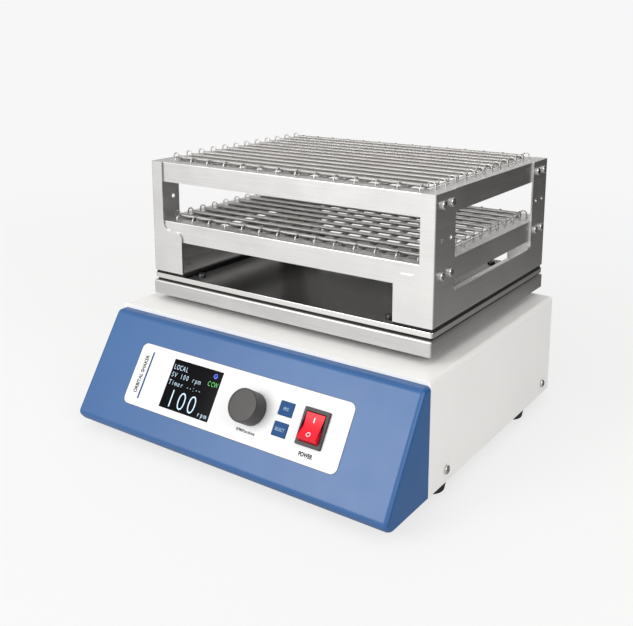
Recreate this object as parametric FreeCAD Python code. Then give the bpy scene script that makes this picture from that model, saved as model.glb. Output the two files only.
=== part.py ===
"""Bench orbital shaker with a two-tier spring rack, as an assembly of separate pieces.

Millimetres, +Z up, +X to the right of the control panel, which faces -Y. The origin is the centre of
the footprint, on the surface that the feet stand on. Every piece is written to parts/NAME.step.
"""

import math
import os

import FreeCAD
import Part

V = FreeCAD.Vector

# ---------------------------------------------------------------- driving dimensions
# Housing and front bezel
HOUSING_WIDTH = 350.0
HOUSING_DEPTH = 273.0
HOUSING_HEIGHT = 101.0
HOUSING_WALL = 1.5
HOUSING_RADIUS = 4.0
FRONT_LIP = 12.0
BEZEL_TOP_DROP = 4.0
BEZEL_TOP_DEPTH = 9.6
BEZEL_REACH = 67.3
BEZEL_LIP_HEIGHT = 7.0
BEZEL_LIP_SETBACK = 6.0
BEZEL_WALL = 2.5
BEZEL_RADIUS = 4.0
BASE_PLATE_THICKNESS = 2.0
BASE_FLANGE_HEIGHT = 20.0
FIT_GAP = 0.3

# Feet
FOOT_HEIGHT = 9.0
FOOT_RADIUS = 14.0
FOOT_SEAT = 4.5
FOOT_INSET_X = 14.5
FOOT_FRONT_INSET = 30.7
FOOT_REAR_INSET = 70.3

# Platform and rack
RACK_WIDTH = 320.0
RACK_DEPTH = 246.0
RACK_HEIGHT = 113.0
PLATFORM_MARGIN_X = 0.0
PLATFORM_MARGIN_Y = 2.0
PLATFORM_SKIRT = 14.0
PLATFORM_GAP = 7.0
PLATFORM_REAR_OVERHANG = 4.7
PLATFORM_RADIUS = 2.0
SHEET = 1.5
MAT_THICKNESS = 2.3
MAT_INSET = 2.0
PLATE_RIM = 5.0
PLATE_CORNER_RADIUS = 3.0
PLATE_SCREW_INSET = (50.0, 16.0)
PANEL_SCREW_INSET = 30.0
CARRIER_SCREW_INSET = 12.0
STRIP_THICKNESS = 2.7
POST_WIDTH_SIDE = 36.5
POST_WIDTH_FRONT = 14.0
FOOT_FLANGE_WIDTH = 38.5
FOOT_FLANGE_HEIGHT = 43.0
FOOT_FLANGE_RADIUS = 8.0
WINDOW_SILL = 24.0
WINDOW_RADIUS = 4.0
PANEL_BEND_RADIUS = 1.4

# Tiers and their springs
TIER_SKIRT = 20.0
TIER_FLANGE = 16.0
TIER_HOLE_PITCH = 30.0
TIER_STEPS = 2
SCREW_DROP = 10.0
SCREW_EDGE = 12.0
SCREW_PAIR = 16.0
LONG_SPRINGS = 14
CROSS_SPRINGS = 12
LONG_SPRING_EDGE = 20.0
CROSS_SPRING_EDGE = 18.9
SPRING_RADIUS = 2.0
WIRE_RADIUS = 0.5
HOOK_RADIUS = 3.6
HOOK_HOLE_RADIUS = 1.2
HOOK_HOLE_EDGE = 9.5
LONG_SPRING_DROP = 1.5
SPRING_LAYER_GAP = 0.2

# Orbit drive
ORBIT_RADIUS = 5.0
DECK_THICKNESS = 6.0
DECK_DROP = 26.0
DECK_MARGIN = 4.0
POST_RADIUS = 6.0
POST_INSET = 10.0
JOURNAL_RADIUS = 6.0
PIN_RADIUS = 5.0
CRANK_DISC_RADIUS = 16.0
CRANK_DISC_THICKNESS = 7.0
DECK_RACE_RADIUS = 14.0
CARRIER_RACE_RADIUS = 13.0
RACE_HEIGHT = 8.0
RACE_WALL = 2.4
RUNNING_GAP = 0.05
BEARING_BODY_RADIUS = 18.0
BEARING_FLANGE_RADIUS = 26.0
BEARING_FLANGE = 4.0
BEARING_BODY_LENGTH = 38.0
BEARING_SHOULDER = 2.0
CARRIER_THICKNESS = 10.0
CARRIER_INSET_X = 22.0
CARRIER_INSET_Y = 27.0
SUPPORT_INSET_X = 28.0
SUPPORT_INSET_Y = 20.0
TOP_HOLE_MARGIN = 3.0
BELT_CENTRES = 84.0
DRIVE_PITCH_RADIUS = 40.0
MOTOR_PITCH_RADIUS = 10.0
BELT_THICKNESS = 1.2
BELT_WIDTH = 8.0
BELT_CLEARANCE = 0.05
PULLEY_FLANGE = 1.5
PULLEY_LIP = 2.0
PULLEY_LIFT = 2.0
MOTOR_RADIUS = 31.0
MOTOR_LENGTH = 45.0
MOTOR_SHAFT_RADIUS = 4.0
MOTOR_BOSS_RADIUS = 11.0
MOTOR_SCREW_CIRCLE = 22.0
COUNTERWEIGHT_RADIUS = 38.0
COUNTERWEIGHT_ANGLE = 150.0

# Control panel, in the plane of the sloping face: x across, drop down the slope from its top edge
LABEL_X = (-123.0, 120.5)
LABEL_DROP = (24.5, 83.0)
LABEL_THICKNESS = 0.4
LABEL_RADIUS = 6.0
DISPLAY_X = (-78.5, -18.9)
DISPLAY_DROP = (31.3, 76.2)
KNOB_X = 23.9
KNOB_DROP = 53.3
KNOB_RADIUS = 14.7
KNOB_HEIGHT = 16.0
KNOB_LIFT = 1.2
KNOB_BEVEL = 0.8
ENCODER_SHAFT_RADIUS = 3.0
ENCODER_BUSH_RADIUS = 3.5
ENCODER_BODY = 12.0
BUTTON_X = 57.3
BUTTON_DROPS = (44.9, 62.5)
BUTTON_WIDTH = 14.4
BUTTON_HEIGHT = 11.8
BUTTON_PROUD = 0.9
BUTTON_TRAVEL = 0.6
BUTTON_GAP = 0.25
SWITCH_X = 88.4
SWITCH_DROP = 53.3
SWITCH_WIDTH = 25.5
SWITCH_HEIGHT = 31.5
SWITCH_FRAME = 2.3
SWITCH_DEPTH = 16.0
ROCKER_WIDTH = 18.9
ROCKER_END_RADIUS = 12.4
ROCKER_ANGLE = 12.0
BOARD_SETBACK = 11.4
BOARD_THICKNESS = 1.6

# Power entry, at the back
INLET_X = 70.0
INLET_FLANGE = (31.0, 50.0, 2.0)
INLET_BODY = (27.4, 46.4, 24.0)
SOCKET_SIZE = (24.2, 16.6)
SOCKET_DEPTH = 17.0
SOCKET_RISE = 11.5
FUSE_FACE = (22.0, 12.0)
FUSE_DEPTH = 18.0
FUSE_DROP = 13.0
VENT_COUNT = 9
VENT_SIZE = (3.0, 34.0)
VENT_PITCH = 8.0
VENT_X = -85.0
SUPPLY_SIZE = (84.0, 100.0, 27.0)
SUPPLY_GAP = 9.0

# Fasteners: thread radius, head radius, head height
M4 = (2.0, 4.0, 2.6)
M4_HOLE = 2.2
SCREW_TIP = 1.3
M4_NUT_FLATS = 7.0
M4_NUT_HEIGHT = 3.2

# ---------------------------------------------------------------- derived planes
BASE_Z = FOOT_HEIGHT
TOP_Z = BASE_Z + HOUSING_HEIGHT
FACE_RISE = HOUSING_HEIGHT - BEZEL_TOP_DROP - BEZEL_LIP_HEIGHT
FACE_RUN = BEZEL_REACH - BEZEL_TOP_DEPTH
FACE_SLOPE = math.atan2(FACE_RISE, FACE_RUN)
FACE_ANGLE = math.degrees(FACE_SLOPE)
LIP_SLOPE = math.atan2(BEZEL_LIP_HEIGHT, BEZEL_LIP_SETBACK)
LIP_TURN = math.pi - FACE_SLOPE - LIP_SLOPE
# How far the rounding takes the bezel's foremost edge back from its sharp corner.
LIP_LEAN = (math.pi / 2 - LIP_SLOPE - LIP_TURN / 2)
LIP_ROUND_OFF = BEZEL_RADIUS * (math.cos(LIP_LEAN) / math.cos(LIP_TURN / 2) - 1)
TOTAL_DEPTH = BEZEL_REACH + HOUSING_DEPTH + PLATFORM_REAR_OVERHANG - LIP_ROUND_OFF
BEZEL_FRONT_Y = -TOTAL_DEPTH / 2 - LIP_ROUND_OFF
HOUSING_FRONT_Y = BEZEL_FRONT_Y + BEZEL_REACH
HOUSING_REAR_Y = HOUSING_FRONT_Y + HOUSING_DEPTH
HALF_WIDTH = HOUSING_WIDTH / 2
PLATE_TOP_Z = BASE_Z + BASE_PLATE_THICKNESS
PLATE_HALF = HALF_WIDTH - max(HOUSING_WALL, BEZEL_WALL) - FIT_GAP

RACK_HALF_X = RACK_WIDTH / 2
RACK_HALF_Y = RACK_DEPTH / 2
PLATFORM_HALF_X = RACK_HALF_X + PLATFORM_MARGIN_X
PLATFORM_HALF_Y = RACK_HALF_Y + PLATFORM_MARGIN_Y
PLATFORM_Y = HOUSING_REAR_Y + PLATFORM_REAR_OVERHANG - PLATFORM_HALF_Y
DRIVE_Y = PLATFORM_Y - ORBIT_RADIUS
SKIRT_Z = TOP_Z + PLATFORM_GAP
TRAY_Z = SKIRT_Z + PLATFORM_SKIRT
RIM_Z = TRAY_Z + MAT_THICKNESS
FLOOR_Z = RIM_Z + PLATE_RIM
RACK_Z = FLOOR_Z + STRIP_THICKNESS
RACK_TOP_Z = RACK_Z + RACK_HEIGHT
TIER_HALF_X = RACK_HALF_X - SHEET
TIER_HALF_Y = RACK_HALF_Y - SHEET - FIT_GAP
UPPER_TIER_Z = RACK_TOP_Z
LOWER_TIER_Z = RACK_TOP_Z - TIER_STEPS * TIER_HOLE_PITCH

DECK_TOP_Z = TOP_Z - DECK_DROP
DECK_Z = DECK_TOP_Z - DECK_THICKNESS
BEARING_BOTTOM_Z = DECK_Z - BEARING_BODY_LENGTH
BEARING_TOP_Z = DECK_TOP_Z
PULLEY_Z = DECK_TOP_Z + PULLEY_LIFT
PULLEY_HEIGHT = BELT_WIDTH + 2 * PULLEY_FLANGE + 1.0
BELT_Z = PULLEY_Z + PULLEY_FLANGE + 0.5
DISC_Z = PULLEY_Z + PULLEY_HEIGHT
CARRIER_TOP_Z = TRAY_Z - SHEET
CARRIER_Z = CARRIER_TOP_Z - CARRIER_THICKNESS
CARRIER_HALF_X = PLATFORM_HALF_X - CARRIER_INSET_X
CARRIER_HALF_Y = PLATFORM_HALF_Y - CARRIER_INSET_Y
SUPPORT_X = CARRIER_HALF_X - SUPPORT_INSET_X
SUPPORT_REACH = CARRIER_HALF_Y - SUPPORT_INSET_Y
MOTOR_Y = DRIVE_Y - BELT_CENTRES
CRANK_AXES = {
    "drive": (0.0, DRIVE_Y),
    "rear": (0.0, DRIVE_Y + SUPPORT_REACH),
    "front_left": (-SUPPORT_X, DRIVE_Y - SUPPORT_REACH),
    "front_right": (SUPPORT_X, DRIVE_Y - SUPPORT_REACH),
}
DECK_HALF_X = SUPPORT_X + BEARING_FLANGE_RADIUS + DECK_MARGIN
DECK_REAR_Y = DRIVE_Y + SUPPORT_REACH + BEARING_FLANGE_RADIUS + DECK_MARGIN
DECK_FRONT_Y = min(
    DRIVE_Y - SUPPORT_REACH - BEARING_FLANGE_RADIUS - DECK_MARGIN, MOTOR_Y - MOTOR_RADIUS - DECK_MARGIN
)
INLET_Z = (PLATE_TOP_Z + DECK_Z) / 2

BEZEL_TOP_Z = TOP_Z - BEZEL_TOP_DROP
FACE_TOP_Y = HOUSING_FRONT_Y - BEZEL_TOP_DEPTH


# ---------------------------------------------------------------- helpers
def box(x0, x1, y0, y1, z0, z1):
    return Part.makeBox(x1 - x0, y1 - y0, z1 - z0, V(x0, y0, z0))


def cylinder(x, y, z0, z1, radius):
    return Part.makeCylinder(radius, z1 - z0, V(x, y, z0))


def ring(x, y, z0, z1, outer, inner):
    return cylinder(x, y, z0, z1, outer).cut(cylinder(x, y, z0, z1, inner))


def fillet(shape, radius, chosen):
    """Rounds the edges for which chosen(centre, direction) is true."""
    edges = []
    for edge in shape.Edges:
        if len(edge.Vertexes) != 2:
            continue
        direction = edge.Vertexes[1].Point.sub(edge.Vertexes[0].Point)
        if chosen(edge.CenterOfMass, direction):
            edges.append(edge)
    return shape.makeFillet(radius, edges)


def is_vertical(direction):
    return abs(direction.x) + abs(direction.y) < 1e-6


def rounded_slab(x0, x1, y0, y1, z0, z1, radius):
    """A slab whose upright edges are rounded."""
    return fillet(box(x0, x1, y0, y1, z0, z1), radius, lambda c, d: is_vertical(d))


def prism(points, direction):
    """A closed polygon of 3-D points, pushed along a vector."""
    wire = Part.makePolygon([V(*p) for p in points] + [V(*points[0])])
    return Part.Face(wire).extrude(V(*direction))


def cut_all(shape, tools):
    return shape.cut(tools) if tools else shape


def arc_through(centre, radius, start_deg, end_deg, place):
    """An arc by its centre and angles. place turns flat (u, v) coordinates into a point."""
    points = []
    for share in (0.0, 0.5, 1.0):
        angle = math.radians(start_deg + share * (end_deg - start_deg))
        points.append(place(centre[0] + radius * math.cos(angle), centre[1] + radius * math.sin(angle)))
    return Part.Arc(*points).toShape()


def turned(shape, axis, tip):
    """Moves a shape built along +Z from the origin so that it runs along axis from tip."""
    copy = shape.copy()
    copy.Placement = FreeCAD.Placement(V(*tip), FreeCAD.Rotation(V(0, 0, 1), V(*axis)))
    return copy


def screw(length, recess=True):
    """A pan-head M4 screw along -Z, its head sitting on z = 0, with a cross recess."""
    thread, head, height = M4
    cap = cylinder(0, 0, 0, height, head)
    cap = cap.makeFillet(height * 0.6, [e for e in cap.Edges if e.CenterOfMass.z > height - 0.01])
    if recess:
        slot, depth = 0.5, 1.1
        for dx, dy in ((head * 0.55, slot), (slot, head * 0.55)):
            cap = cap.cut(box(-dx, dx, -dy, dy, height - depth, height + 1))
    return cap.fuse(cylinder(0, 0, -length, 0, thread)).removeSplitter()


def nut():
    """An M4 hexagon nut standing on z = 0."""
    corner = M4_NUT_FLATS / math.sqrt(3)
    points = [
        (corner * math.cos(math.radians(60 * i)), corner * math.sin(math.radians(60 * i)), 0) for i in range(6)
    ]
    return prism(points, (0, 0, M4_NUT_HEIGHT)).cut(cylinder(0, 0, -1, M4_NUT_HEIGHT + 1, M4[0]))


def on_panel(shape, x, drop):
    """Places a shape built with +Z out of the panel and +Y up the slope, at a spot on the sloping face."""
    copy = shape.copy()
    angle = math.radians(FACE_ANGLE)
    spot = V(x, FACE_TOP_Y - drop * math.cos(angle), BEZEL_TOP_Z - drop * math.sin(angle))
    copy.Placement = FreeCAD.Placement(spot, FreeCAD.Rotation(V(1, 0, 0), FACE_ANGLE))
    return copy


def panel_window(x_range, drop_range, z0, z1, radius=0.0, grow=0.0):
    """A slab across the sloping face, from z0 to z1 along its normal."""
    x0, x1 = x_range
    top, bottom = drop_range
    half_x, half_y = (x1 - x0) / 2 + grow, (bottom - top) / 2 + grow
    slab = box(-half_x, half_x, -half_y, half_y, z0, z1)
    if radius:
        slab = fillet(slab, radius, lambda c, d: is_vertical(d))
    return on_panel(slab, (x0 + x1) / 2, (top + bottom) / 2)


# ---------------------------------------------------------------- housing
def cover_screw_spots():
    """The side screws that hold the cover to the base plate's flanges: (side, y, z)."""
    height = BASE_Z + BASE_FLANGE_HEIGHT * 0.6
    rows = (HOUSING_FRONT_Y + 31.0, HOUSING_REAR_Y - 23.0)
    return [(side, y, height) for side in (-1, 1) for y in rows]


def bezel_screw_spots():
    heights = (BASE_Z + 0.3 * HOUSING_HEIGHT, BASE_Z + 0.8 * HOUSING_HEIGHT)
    inset = HALF_WIDTH - HOUSING_WALL - 6.0
    return [(side * inset, z) for side in (-1, 1) for z in heights]


def housing_blank(offset):
    """The outer block of the cover, shrunk by offset on every closed side."""
    half = HALF_WIDTH - offset
    block = box(-half, half, HOUSING_FRONT_Y, HOUSING_REAR_Y - offset, BASE_Z, TOP_Z - offset)
    top, rear = TOP_Z - offset, HOUSING_REAR_Y - offset

    def is_bend(centre, direction):
        at_top = abs(centre.z - top) < 0.01 and centre.y > HOUSING_FRONT_Y + 0.01
        upright = is_vertical(direction) and abs(centre.y - rear) < 0.01
        return at_top or upright

    return fillet(block, HOUSING_RADIUS - offset, is_bend)


def housing_cover():
    cover = housing_blank(0.0)
    inside = housing_blank(HOUSING_WALL)
    behind_lip = box(-HALF_WIDTH, HALF_WIDTH, HOUSING_FRONT_Y + HOUSING_WALL, HOUSING_REAR_Y, 0, TOP_Z)
    cover = cover.cut(inside.common(behind_lip))
    mouth = HALF_WIDTH - FRONT_LIP
    tools = [box(-mouth, mouth, HOUSING_FRONT_Y - 1, HOUSING_FRONT_Y + 5, 0, TOP_Z - FRONT_LIP)]
    inner = HALF_WIDTH - HOUSING_WALL
    tools.append(box(-inner, inner, HOUSING_FRONT_Y - 1, HOUSING_FRONT_Y + 5, 0, PLATE_TOP_Z + FIT_GAP))
    reach = ORBIT_RADIUS + PIN_RADIUS + TOP_HOLE_MARGIN
    tools += [cylinder(x, y, TOP_Z - 5, TOP_Z + 1, reach) for x, y in CRANK_AXES.values()]
    for side, y, z in cover_screw_spots():
        tools.append(turned(Part.makeCylinder(M4_HOLE, 8), (side, 0, 0), (side * (HALF_WIDTH - 5), y, z)))
    for x, z in bezel_screw_spots():
        tools.append(turned(Part.makeCylinder(M4_HOLE, 8), (0, 1, 0), (x, HOUSING_FRONT_Y - 2, z)))
    width, height, _ = INLET_BODY
    centre = INLET_Z
    half_w, half_h = width / 2 + FIT_GAP, height / 2 + FIT_GAP
    rear = (HOUSING_REAR_Y - 5, HOUSING_REAR_Y + 1)
    tools.append(box(INLET_X - half_w, INLET_X + half_w, *rear, centre - half_h, centre + half_h))
    for i in range(VENT_COUNT):
        x = VENT_X + (i - (VENT_COUNT - 1) / 2) * VENT_PITCH
        half = VENT_SIZE[0] / 2
        tools.append(box(x - half, x + half, *rear, centre - VENT_SIZE[1] / 2, centre + VENT_SIZE[1] / 2))
    return cut_all(cover, tools)


def bezel_profile(offset):
    """The side profile of the bezel as (y, z) corners, moved inwards by offset from its outer skin."""
    normal_shift = offset / math.sin(FACE_SLOPE)
    top = BEZEL_TOP_Z - offset
    face_top_y = FACE_TOP_Y + normal_shift - offset / math.tan(FACE_SLOPE)
    corner_y = BEZEL_FRONT_Y + normal_shift
    lip_z = BASE_Z + BEZEL_LIP_HEIGHT
    return [
        (HOUSING_FRONT_Y, BASE_Z),
        (BEZEL_FRONT_Y + BEZEL_LIP_SETBACK + normal_shift, BASE_Z),
        (corner_y, lip_z),
        (face_top_y, top),
        (HOUSING_FRONT_Y, top),
    ]


def front_bezel():
    outer = prism([(-HALF_WIDTH, y, z) for y, z in bezel_profile(0.0)], (HOUSING_WIDTH, 0, 0))
    joint = HOUSING_FRONT_Y

    def is_outer_edge(centre, direction):
        return centre.y < joint - 0.01 and centre.z > BASE_Z + 0.01

    outer = fillet(outer, BEZEL_RADIUS, is_outer_edge)
    half = HALF_WIDTH - BEZEL_WALL
    inside = prism([(-half, y, z) for y, z in bezel_profile(BEZEL_WALL)], (2 * half, 0, 0))
    bezel = outer.cut(inside)
    floor_y = BEZEL_FRONT_Y + BEZEL_LIP_SETBACK + BEZEL_WALL
    bezel = bezel.cut(box(-half, half, floor_y, joint, BASE_Z - 1, PLATE_TOP_Z + FIT_GAP))
    for side in (-1, 1):
        edges = sorted((side * half, side * (HALF_WIDTH - FRONT_LIP)))
        tab = box(*edges, joint - BEZEL_WALL, joint, BASE_Z + 10, BEZEL_TOP_Z - BEZEL_WALL)
        bezel = bezel.fuse(tab)
    tools = [
        turned(Part.makeCylinder(M4_HOLE, 8), (0, 1, 0), (x, joint - 6, z)) for x, z in bezel_screw_spots()
    ]
    tools.append(panel_window(DISPLAY_X, DISPLAY_DROP, -6, 2, grow=FIT_GAP))
    tools.append(on_panel(cylinder(0, 0, -6, 2, ENCODER_BUSH_RADIUS + FIT_GAP), KNOB_X, KNOB_DROP))
    for drop in BUTTON_DROPS:
        tools.append(on_panel(button_block(-6, 2, BUTTON_GAP), BUTTON_X, drop))
    tools.append(on_panel(switch_block(-6, 2, FIT_GAP), SWITCH_X, SWITCH_DROP))
    return cut_all(bezel, tools).removeSplitter()


def base_plate():
    front = BEZEL_FRONT_Y + BEZEL_LIP_SETBACK + BEZEL_WALL + 1.0
    rear = HOUSING_REAR_Y - HOUSING_WALL - FIT_GAP
    plate = box(-PLATE_HALF, PLATE_HALF, front, rear, BASE_Z, PLATE_TOP_Z)
    plate = fillet(plate, HOUSING_RADIUS, lambda c, d: is_vertical(d) and c.y > rear - 0.01)
    flange_front = HOUSING_FRONT_Y + HOUSING_WALL + 2.0
    for side in (-1, 1):
        edges = sorted((side * (HALF_WIDTH - HOUSING_WALL), side * (PLATE_HALF - BASE_PLATE_THICKNESS)))
        plate = plate.fuse(box(*edges, flange_front, rear - HOUSING_RADIUS, BASE_Z, BASE_Z + BASE_FLANGE_HEIGHT))
    tools = []
    for side, y, z in cover_screw_spots():
        tools.append(turned(Part.makeCylinder(M4[0], 12), (side, 0, 0), (side * (HALF_WIDTH - 10), y, z)))
    tools += [cylinder(x, y, 0, PLATE_TOP_Z + 1, M4_HOLE) for x, y in foot_spots() + post_spots()]
    return cut_all(plate, tools).removeSplitter()


def cover_screws():
    return [turned(screw(7), (side, 0, 0), (side * HALF_WIDTH, y, z)) for side, y, z in cover_screw_spots()]


def bezel_screws():
    seat = HOUSING_FRONT_Y + HOUSING_WALL
    return [turned(screw(HOUSING_WALL + BEZEL_WALL), (0, 1, 0), (x, seat, z)) for x, z in bezel_screw_spots()]


def foot_spots():
    x = HALF_WIDTH - FOOT_INSET_X
    rows = (HOUSING_FRONT_Y + FOOT_FRONT_INSET, HOUSING_REAR_Y - FOOT_REAR_INSET)
    return [(side * x, y) for side in (-1, 1) for y in rows]


def rubber_feet():
    feet = []
    for x, y in foot_spots():
        foot = Part.makeCone(FOOT_RADIUS - 1.5, FOOT_RADIUS, FOOT_HEIGHT, V(x, y, 0))
        foot = foot.makeFillet(1.2, [e for e in foot.Edges if e.CenterOfMass.z < 0.01])
        foot = foot.cut([cylinder(x, y, -1, FOOT_SEAT, M4[1] + 1), cylinder(x, y, 0, FOOT_HEIGHT + 1, M4_HOLE)])
        feet.append(foot)
    return feet


def foot_screws():
    length = PLATE_TOP_Z + M4_NUT_HEIGHT + SCREW_TIP - FOOT_SEAT
    return [turned(screw(length), (0, 0, -1), (x, y, FOOT_SEAT)) for x, y in foot_spots()]


def foot_nuts():
    return [turned(nut(), (0, 0, 1), (x, y, PLATE_TOP_Z)) for x, y in foot_spots()]


# ---------------------------------------------------------------- control panel
def button_block(z0, z1, grow=0.0):
    half_x, half_y = BUTTON_WIDTH / 2 + grow, BUTTON_HEIGHT / 2 + grow
    return box(-half_x, half_x, -half_y, half_y, z0, z1)


def switch_block(z0, z1, grow=0.0):
    half_x, half_y = SWITCH_WIDTH / 2 - 1.2 + grow, SWITCH_HEIGHT / 2 - 1.5 + grow
    return box(-half_x, half_x, -half_y, half_y, z0, z1)


def control_label():
    label = panel_window(LABEL_X, LABEL_DROP, 0, LABEL_THICKNESS, LABEL_RADIUS)
    tools = [panel_window(DISPLAY_X, DISPLAY_DROP, -1, 2, grow=FIT_GAP)]
    tools.append(on_panel(cylinder(0, 0, -1, 2, ENCODER_BUSH_RADIUS + FIT_GAP), KNOB_X, KNOB_DROP))
    for drop in BUTTON_DROPS:
        tools.append(on_panel(button_block(-1, 2, BUTTON_GAP), BUTTON_X, drop))
    tools.append(on_panel(switch_block(-1, 2, FIT_GAP), SWITCH_X, SWITCH_DROP))
    return cut_all(label, tools)


def display_window():
    return panel_window(DISPLAY_X, DISPLAY_DROP, -BEZEL_WALL, LABEL_THICKNESS)


def display_module():
    return panel_window(DISPLAY_X, DISPLAY_DROP, -BEZEL_WALL - 4.0, -BEZEL_WALL, grow=3.0)


def control_board():
    """The printed board behind the panel, which carries the display, encoder and key switches."""
    x_range = (DISPLAY_X[0] - 8, BUTTON_X + BUTTON_WIDTH / 2 + 2)
    board = panel_window(x_range, (DISPLAY_DROP[0] - 3, DISPLAY_DROP[1] + 3), *board_span())
    return board


def board_span():
    return (-BOARD_SETBACK - BOARD_THICKNESS, -BOARD_SETBACK)


def encoder_body():
    """A panel encoder: a square can on the board and a threaded bush through the panel."""
    half = ENCODER_BODY / 2
    can = box(-half, half, -half, half, -BOARD_SETBACK, -BEZEL_WALL - 0.4)
    bush = cylinder(0, 0, -BEZEL_WALL - 0.4, LABEL_THICKNESS + 3.6, ENCODER_BUSH_RADIUS)
    bore = cylinder(0, 0, -BOARD_SETBACK + 2.0, 10, ENCODER_SHAFT_RADIUS + 0.05)
    well = cylinder(0, 0, -BOARD_SETBACK - 1, 0, 1.6)
    return on_panel(can.fuse(bush).cut([bore, well]), KNOB_X, KNOB_DROP)


def encoder_nut():
    corner = 10.0 / math.sqrt(3)
    points = [
        (corner * math.cos(math.radians(60 * i)), corner * math.sin(math.radians(60 * i)), LABEL_THICKNESS)
        for i in range(6)
    ]
    body = prism(points, (0, 0, 2.0)).cut(cylinder(0, 0, -1, 5, ENCODER_BUSH_RADIUS))
    return on_panel(body, KNOB_X, KNOB_DROP)


def encoder_shaft():
    foot = -BOARD_SETBACK + 3.0
    shaft = cylinder(0, 0, foot, KNOB_LIFT + LABEL_THICKNESS + KNOB_HEIGHT - 4.0, ENCODER_SHAFT_RADIUS)
    flat = box(1.5, 5, -5, 5, LABEL_THICKNESS + 5.0, KNOB_HEIGHT + 5)
    return on_panel(shaft.cut(flat), KNOB_X, KNOB_DROP)


def encoder_plunger():
    """The push contact under the shaft's end, which moves in when the knob is pressed."""
    return on_panel(cylinder(0, 0, -BOARD_SETBACK + 0.7, -BOARD_SETBACK + 3.0, 1.5), KNOB_X, KNOB_DROP)


def knob():
    """A round cap with a bevelled face, bored for the flatted shaft and hollow over the nut."""
    foot = LABEL_THICKNESS + KNOB_LIFT
    top = foot + KNOB_HEIGHT
    body = cylinder(0, 0, foot, top, KNOB_RADIUS)
    body = body.makeChamfer(KNOB_BEVEL, [e for e in body.Edges if e.CenterOfMass.z > top - 0.01])
    body = body.cut(cylinder(0, 0, foot - 1, foot + 5.0, KNOB_RADIUS - 3.0))
    bore = cylinder(0, 0, foot, top - 4.0, ENCODER_SHAFT_RADIUS)
    bore = bore.cut(box(1.5, 5, -5, 5, LABEL_THICKNESS + 5.0, KNOB_HEIGHT + 5))
    return on_panel(body.cut(bore), KNOB_X, KNOB_DROP)


def key_button(drop):
    """A square key: its cap stands through the label, and a rim behind the panel keeps it in."""
    cap = button_block(-BEZEL_WALL, LABEL_THICKNESS + BUTTON_PROUD)
    top = LABEL_THICKNESS + BUTTON_PROUD
    cap = fillet(cap, 1.0, lambda c, d: is_vertical(d))
    cap = cap.makeFillet(0.3, [e for e in cap.Edges if e.CenterOfMass.z > top - 0.01])
    rim = button_block(-BEZEL_WALL - 1.2, -BEZEL_WALL, 1.0)
    stem = cylinder(0, 0, -BOARD_SETBACK + 4.6 + BUTTON_TRAVEL + 0.05, -BEZEL_WALL - 1.2, 1.5)
    return on_panel(cap.fuse([rim, stem]), BUTTON_X, drop)


def key_switches():
    """A small push switch on the board under each key."""
    body = box(-3, 3, -3, 3, -BOARD_SETBACK, -BOARD_SETBACK + 3.5)
    body = body.fuse(cylinder(0, 0, -BOARD_SETBACK + 3.5, -BOARD_SETBACK + 4.6, 1.7))
    return [on_panel(body, BUTTON_X, drop) for drop in BUTTON_DROPS]


def switch_housing():
    """The rocker switch's frame and body, with a well for the rocker and blind holes for its trunnions."""
    half_x, half_y = SWITCH_WIDTH / 2, SWITCH_HEIGHT / 2
    frame = box(-half_x, half_x, -half_y, half_y, LABEL_THICKNESS, LABEL_THICKNESS + SWITCH_FRAME)
    frame = fillet(frame, 1.2, lambda c, d: is_vertical(d))
    top = LABEL_THICKNESS + SWITCH_FRAME
    frame = frame.makeFillet(0.6, [e for e in frame.Edges if e.CenterOfMass.z > top - 0.01])
    body = switch_block(-SWITCH_DEPTH, LABEL_THICKNESS)
    well_x, well_y = ROCKER_WIDTH / 2 + FIT_GAP, ROCKER_END_RADIUS + FIT_GAP
    well = box(-well_x, well_x, -well_y, well_y, -SWITCH_DEPTH + 4.0, 10)
    axle = turned(Part.makeCylinder(1.55, 2 * (well_x + 1.0)), (1, 0, 0), (-well_x - 1.0, 0, 0))
    blades = [box(-1, 1, y - 3.1, y + 3.1, -SWITCH_DEPTH - 7, -SWITCH_DEPTH) for y in (-8.0, 8.0)]
    return on_panel(frame.fuse([body] + blades).cut([well, axle]), SWITCH_X, SWITCH_DROP)


def rocker():
    """The rocker, resting with its upper half pressed. Its ends are arcs about the pivot, and so clear the frame."""
    crest = LABEL_THICKNESS + SWITCH_FRAME + 0.4
    depth = -4.5
    reach = ROCKER_END_RADIUS
    rise = math.radians(2 * ROCKER_ANGLE)
    profile = prism(
        [
            (-ROCKER_WIDTH / 2, 0, crest),
            (-ROCKER_WIDTH / 2, reach + 1, crest),
            (-ROCKER_WIDTH / 2, reach + 1, depth),
            (-ROCKER_WIDTH / 2, -reach - 1, depth),
            (-ROCKER_WIDTH / 2, -reach - 1, crest + (reach + 1) * math.tan(rise)),
        ],
        (ROCKER_WIDTH, 0, 0),
    )
    drum = turned(Part.makeCylinder(reach, ROCKER_WIDTH), (1, 0, 0), (-ROCKER_WIDTH / 2, 0, 0))
    trunnion = ROCKER_WIDTH / 2 + FIT_GAP + 0.8
    axle = turned(Part.makeCylinder(1.5, 2 * trunnion), (1, 0, 0), (-trunnion, 0, 0))
    return on_panel(profile.common(drum).fuse(axle).removeSplitter(), SWITCH_X, SWITCH_DROP)


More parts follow.
